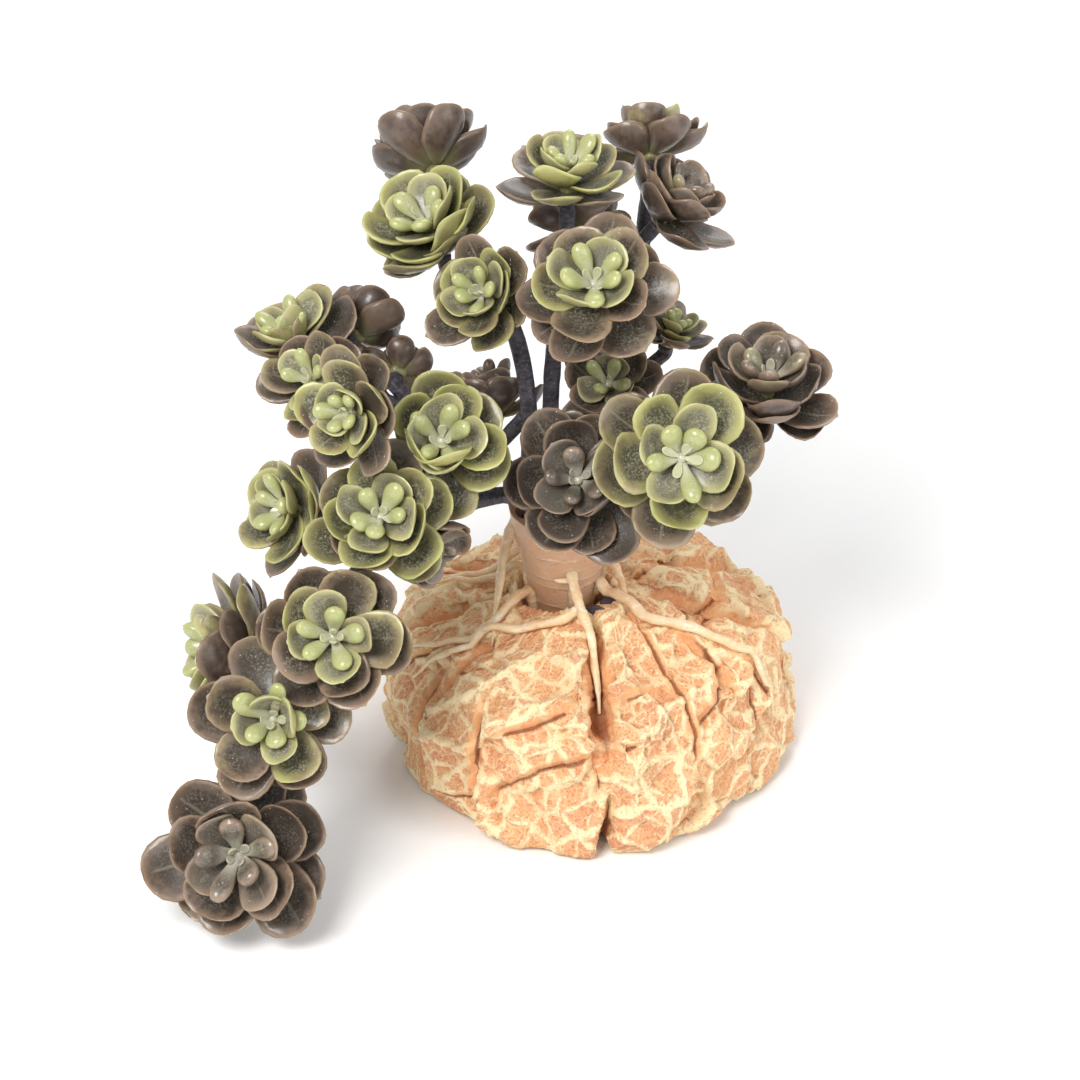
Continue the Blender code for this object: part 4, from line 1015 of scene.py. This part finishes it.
def rosetteLeaves(name):
    # The leaves before they meet a neighbour, whorl by whorl from the outside in, each with its greenness, a
    # random number for its colour and its whorl as a share
    reach, closing, greenness = (rosettes[name][place] for place in (3, 7, 8))
    size = reach / form["nominalReach"]
    bowl = 0.16 if name in brownRosettes and name not in shallowBrown else 0.0
    rng = np.random.default_rng(form["seed"] + int(name[-2:]))
    leaves = []
    offset = 0.0
    for whorl, (most, height, length, width, thick, rise, curl, cup, bean) in enumerate(whorls):
        count = most - 1 if reach < form["smallReach"] else most
        if whorl == 0 and reach < form["largeReach"]:
            continue
        offset += math.pi / count + scatter["start"] * rng.standard_normal()
        loose = 2.2 if whorl == len(whorls) - 1 else 1.0  # the heart's small leaves are the least regular
        turns, lengths, widths, rises = (
            scatter[part][0] + scatter[part][1] * bean for part in ("turn", "length", "width", "rise"))
        shade = greenness + greening[whorl] * (0.30 + 0.70 * np.clip(greenness * 2.0, 0.0, 1.0))
        for i in range(count):
            draw = rng.uniform(-1.0, 1.0, 11)
            leaf = np.array([
                offset + 2.0 * math.pi * i / count + turns * draw[0],
                0.4 * size,
                (height + scatter["root"] * draw[1]) * size,
                length * size * (1.0 + lengths * loose * draw[2]),
                width * size * (1.0 + widths * draw[3]),
                thick * max(size, 0.85),
                rise + closing + rises * loose * draw[4],
                curl * (1.0 + scatter["curl"] * draw[5]),
                (cup + bowl * (1.0 - bean)) * (1.0 + scatter["cup"] * draw[6]),
                bean,
                (4.0 + 8.0 * draw[7]) * (1.0 - bean),
                draw[8],
                0.035 if draw[9] > 0.75 else -0.02,
            ])
            green = np.clip(shade + scatter["shade"] * draw[10], -0.5, 1.0)
            leaves.append((leaf, (green, 0.5 + 0.5 * draw[1], max(whorl - 1, 0) / 4.0)))
    return leaves


def settled(leaf, seat, spin, obstacles):
    # A leaf that would meet a neighbour folds towards its rosette's axis, then gets shorter. It is tried a
    # little longer, wider and thicker than it is.
    swelling = np.zeros(len(leaf))
    swelling[3:6] = form["clearance"] * np.array([1, 2, 2])
    for share in form["shrinks"]:
        for fold in form["folds"]:
            if fold > 0 and leaf[6] + fold > form["steepest"]:
                continue
            tried = leaf.copy()
            tried[3:5] *= share
            tried[6] += fold
            points = leafPoints(tried + swelling) @ spin.T + seat
            low, high = points.min(axis=0), points.max(axis=0)
            if low[2] < form["clearance"]:
                continue
            near = [tree for tree, base, top in obstacles if (base < high).all() and (top > low).all()]
            if not near:
                return tried
            own = surfaceTree(points, leafQuads, leafTriangles)
            if not any(own.overlap(tree) for tree in near):
                return tried
    return None


def nub(name):
    # The core that the leaves grow from, with a frilled collar below: a profile turned about the axis, with
    # waves round the collar's edge
    seat, _, spin, size = rosetteFrame(name)
    profile = np.array([(0.0, 1.55), (0.35, 2.1), (0.9, 2.5), (1.5, 2.35), (2.1, 2.0), (3.5, 1.9),
                        (0.75 * form["coreHeight"] * size, 1.5), (form["coreHeight"] * size, 1.1)])
    around = form["coreAround"]
    angle = np.arange(around) * 2.0 * math.pi / around
    frill = 1.0 + 0.16 * bell(profile[:, 0] - 1.0, 0.6)[:, None] * np.sin(5.0 * angle + 0.7)[None, :]
    radius = profile[:, 1][:, None] * frill
    height = np.repeat(profile[:, 0][:, None], around, axis=1)
    points = np.stack([radius * np.cos(angle), radius * np.sin(angle), height], axis=2).reshape(-1, 3)
    points = np.concatenate([[(0.0, 0.0, 0.0)], points, [(0.0, 0.0, profile[-1, 0] + 0.3)]])
    field = np.tile([-0.5, 0.2, 0.35], (len(points), 1))
    tint = np.tile([rosettes[name][8] * 0.6 + 0.35, 0.5, 0.4], (len(points), 1))
    tint[-1 - around:, 2] = 1.0  # the top ring is frosted like the heart
    return points @ spin.T + seat, *tubeFaces(len(profile), around), {"form": field, "tint": tint}


def leafLook(name):
    # Olive where it is green enough and grey-brown elsewhere, with dark middles, tan rims that are partly
    # painted light through the thin edge, painted shadow at the root under the whorl above, a frosted heart,
    # dust, a few specks and a vein on some leaves
    shader = Shader(name)
    place = shader.place()
    spine, along, rim = shader.field("form")
    green, chance, whorl = shader.field("tint")
    mottle = shader.noise(place, 430.0, 5.0, 0.62)
    cloud = shader.noise(place, 120.0, 3.0, 0.5)
    fine = shader.noise(place, 1900.0, 3.0, 0.65)
    top = shader.rise(0.0, 0.06, spine)
    middle = shader.fall(0.46, 0.90, rim + (mottle - 0.5) * 0.25)
    inner = shader.rise(0.60, 0.76, whorl)
    pale = shader.rise(0.30, 0.70, whorl)
    heart = shader.rise(0.85, 0.95, whorl)
    outer = shader.fall(0.0, 0.30, whorl)
    local = green + (mottle - 0.5) * 0.35 + (cloud - 0.5) * 0.5 + (1.0 - top) * 0.08
    mask = shader.rise(0.28, 0.74, local)
    edge = shader.rise(0.84, 0.985, rim) * (1.0 - inner * 0.6)
    root = shader.fall(0.08, 0.50, along)
    frost = shader.fall(0.0, 0.62, along) * inner
    dust = shader.rise(0.46, 0.62, fine) * middle * top * shader.rise(0.25, 0.65, cloud)
    lucky = shader.node("ShaderNodeSeparateXYZ", {}, [shader.net(place, 900.0, "F1", 1)], 0)
    dots = shader.fall(0.08, 0.16, shader.net(place, 900.0, "F1"))
    specks = dots * shader.rise(0.76, 0.78, lucky) * top
    vein = shader.rise(0.92, 0.99, spine) * shader.rise(0.55, 0.7, chance) * (1.0 - inner)
    vein = vein * shader.rise(0.1, 0.3, along) * shader.fall(0.85, 0.95, along)
    # A greenness below 0 darkens the brown, which on rosette_12 is painted shade from the rosettes over it
    brown = shader.painted(
        shader.blend(shader.rise(0.3, 0.75, mottle + (chance - 0.5) * 0.4 + green * 0.5), "483b34", "8a7463"),
        (middle * top * 0.90, "32271f"),
    )
    olive = shader.painted(
        shader.blend(shader.rise(0.3, 0.7, cloud), "959159", "aeaa6a"),
        (middle * top * shader.rise(0.20, 0.50, mottle) * 0.90, "3c3d27"),
        (inner, shader.blend(mottle, "97a05a", "b0b570")),
    )
    color = shader.painted(
        shader.blend(mask, brown, olive),
        (outer * 0.34, "3a2f28"),
        # lighter rims: partly the leaves' own rim colour, partly painted light showing through the thin edge
        (edge * 0.7, shader.blend(mask, "9a8068", "bfc07e")),
        (pale * (1.0 - inner * 0.7) * (0.10 + mask * 0.15 + cloud * 0.4), "bdb5a2"),
        # painted shadow: the upper side darkens towards the root, where the whorl above shades it
        (root * top * (1.0 - pale) * 0.75, "2b251f"),
        ((1.0 - top) * (1.0 - mask) * 0.35, "4c3e38"),
        (root * (1.0 - top) * 0.6, "7d7f4e"),
        (shader.most(frost * 0.85, heart * 0.45), "d6d3c2"),
        (dust * (mask * 0.28 + 0.24) + top * 0.03, "c6c2b4"),
        (specks * 0.8, "dedcd0"),
        (vein * 0.35, "a8a088"),
    )
    height = mottle * 0.5 + fine * 0.30 + vein * 0.6 + specks * 0.8
    roughness = 0.44 - inner * 0.14 + (fine - 0.5) * 0.18
    return shader.finish(color, roughness, shader.bump(height, 0.00016, 0.7), Subsurface_Weight=0.18,
                         Subsurface_Scale=0.002, Subsurface_Radius=(1.0, 0.8, 0.4), IOR=1.46, Coat_Weight=0.5,
                         Coat_Roughness=0.18)


def depthInView(name):
    # How far back a rosette's heart lies as the camera sees it
    tilt = math.radians(view["elevation"])
    return math.cos(tilt) * rosettes[name][1] - math.sin(tilt) * rosettes[name][2]


def grownRosette(name, obstacles):
    # The core and the leaves that find room
    seat, _, spin, _ = rosetteFrame(name)
    parts = [nub(name)]
    for leaf, tint in rosetteLeaves(name):
        kept = settled(leaf, seat, spin, obstacles)
        if kept is not None:
            fields = {"form": leafShape, "tint": np.tile(tint, (len(leafShape), 1))}
            parts.append((leafPoints(kept) @ spin.T + seat, leafQuads, leafTriangles, fields))
    return parts


def makeRosettes():
    # Those in front grow first and keep their full leaves. The cores of the others stay free.
    looks = {"green_leaf": leafLook("greenLeaf"), "brown_leaf": leafLook("brownLeaf")}
    solids = [nodeTree(name) for name in nodes if not name.startswith("rosette")]
    cores = {name: boxedTree(*nub(name)[:3]) for name in rosettes}
    total = 0
    for name in sorted(rosettes, key=depthInView):
        del cores[name]
        parts = grownRosette(name, solids + list(cores.values()))
        total += len(parts) - 1
        points, quads, triangles, fields = joined(parts)
        solids.append(boxedTree(points, quads, triangles))
        slot = "brown_leaf" if name in brownRosettes else "green_leaf"
        piece = name.replace("rosette_", "leaves")
        addPiece(piece, points, quads, triangles, fields, looks[slot], slot, name)
    print(len(rosettes), "rosettes with", total, "leaves")


# Stems

stem = {
    "radius": 2.0, "thinning": 0.3, "around": 18, "spans": 7,
    "twigRadius": 1.65, "twigFlare": 0.12, "twigAround": 14, "twigLead": 5.5, "gap": 0.3,
}
stems = {
    # name: the route from its socket, the rosette it ends in, and for each twig its rosette and route point
    "stem_1": (
        ((-13.5, 4.7, 61.3), (-14.0, 4.6, 72.0), (-14.0, 2.6, 90.0), (-16.0, 2.4, 106.0), (-21.0, 8.0, 119.0),
         (-28.0, 17.0, 127.0)),
        "rosette_01", (("rosette_02", 4), ("rosette_03", 3), ("rosette_14", 2))),
    "stem_2": (
        ((-0.9, 8.1, 61.3), (-0.4, 9.0, 71.0), (4.0, 16.0, 86.0), (9.0, 24.0, 104.0), (11.5, 27.0, 118.0),
         (12.5, 27.5, 129.0)),
        "rosette_06", (("rosette_07", 4), ("rosette_08", 2), ("rosette_10", 1), ("rosette_28", 2))),
    "stem_3": (
        ((-8.7, 9.5, 61.3), (-9.2, 9.4, 73.0), (-9.0, 7.0, 92.0), (-8.0, 6.0, 108.0), (-5.5, 5.0, 124.0)),
        "rosette_05", (("rosette_04", 3), ("rosette_26", 3))),
    "stem_4": (
        ((1.9, 0.6, 61.3), (3.4, 0.2, 70.0), (13.0, -1.0, 77.0), (25.0, -2.0, 82.0), (34.0, -2.0, 87.0)),
        "rosette_09", (("rosette_11", 2), ("rosette_12", 1))),
    "stem_5": (
        ((-13.3, -1.4, 61.3), (-15.0, -1.8, 71.0), (-22.0, -2.0, 81.0), (-34.0, -1.0, 88.0),
         (-46.0, 2.0, 93.0), (-58.0, 6.0, 97.0)),
        "rosette_15", (("rosette_13", 2), ("rosette_19", 3), ("rosette_16", 4), ("rosette_17", 4),
                       ("rosette_18", 3), ("rosette_29", 1))),
    "stem_6": (
        ((-8.1, -5.7, 61.3), (-10.0, -8.0, 70.0), (-20.0, -12.0, 77.0), (-34.0, -19.0, 76.0),
         (-46.0, -24.0, 70.0), (-56.0, -28.0, 62.0), (-63.0, -33.0, 50.0), (-67.0, -41.0, 36.0),
         (-74.0, -50.0, 20.0)),
        "rosette_25", (("rosette_27", 3), ("rosette_21", 3), ("rosette_20", 4), ("rosette_23", 5),
                       ("rosette_22", 6), ("rosette_24", 7))),
}


def stemLook():
    # Dark grey with paler wrinkles and patches and a little dust
    shader = Shader("stem")
    place = shader.place()
    turn, run, share = shader.field("form")
    wrap = shader.node("ShaderNodeCombineXYZ", {}, [turn * 6.0, run * 1.1, share])
    wrinkles = shader.noise(wrap, 1.0, 4.0, 0.6, 0.8)
    ribs = shader.node("ShaderNodeMath", {"operation": "SINE"}, [turn * 44.0 + wrinkles * 3.0])
    patches = shader.noise(place, 260.0, 4.0)
    dust = shader.rise(0.62, 0.72, shader.noise(place, 1500.0, 2.0))
    color = shader.painted(
        shader.blend(shader.rise(0.35, 0.7, wrinkles), "2f2d33", "5a5660"),
        (shader.rise(0.5, 0.75, patches) * 0.6, "6d6870"),
        (dust * 0.35, "a3a0a4"),
    )
    height = wrinkles * 1.0 + ribs * 0.12 + patches * 0.4
    return shader.finish(color, 0.42 + patches * 0.2, shader.bump(height, 0.0004, 0.9), IOR=1.45)


def ribbed(turn, run, phase):
    # Low ribs along a stem, and swellings where a leaf once sat
    ribs = 0.035 * np.sin(6.0 * turn + 0.25 * run + phase)
    return 1.0 + ribs + 0.03 * np.sin(run * 1.9 + phase) + 0.03 * np.sin(run * 0.8 + 2.0 * turn)


def stemEnd(name):
    # The last two points of a stem or twig, which meets its rosette along the rosette's axis
    seat, axis, _, size = rosetteFrame(name)
    return [seat - axis * stem["twigLead"] * size, seat - axis * stem["gap"]]


def makeStems():
    look = stemLook()
    for name, (route, last, twigs) in stems.items():
        phase = int(name[-1])
        path = smoothPath([*route, *stemEnd(last)], stem["spans"])
        radii = stem["radius"] - stem["thinning"] * np.linspace(0.0, 1.0, len(path))
        parts = [strand(path, radii, stem["around"], ribbed, phase)]
        for rosette, fromPoint in twigs:
            path = smoothPath([route[fromPoint], *stemEnd(rosette)], stem["spans"])
            flare = 1.0 + stem["twigFlare"] * bell(np.linspace(0.0, 1.0, len(path)) - 1.0, 0.15)
            parts.append(strand(path, stem["twigRadius"] * flare, stem["twigAround"], ribbed, phase))
        addPiece(name.replace("stem_", "ribbedStem"), *joined(parts), look, "stem", name)
    print(len(stems), "stems")


# Assembly

setCamera()
setLights()
setFloor()
ground = makeRock()
makeTrunk(ground)
makeStems()
makeRosettes()
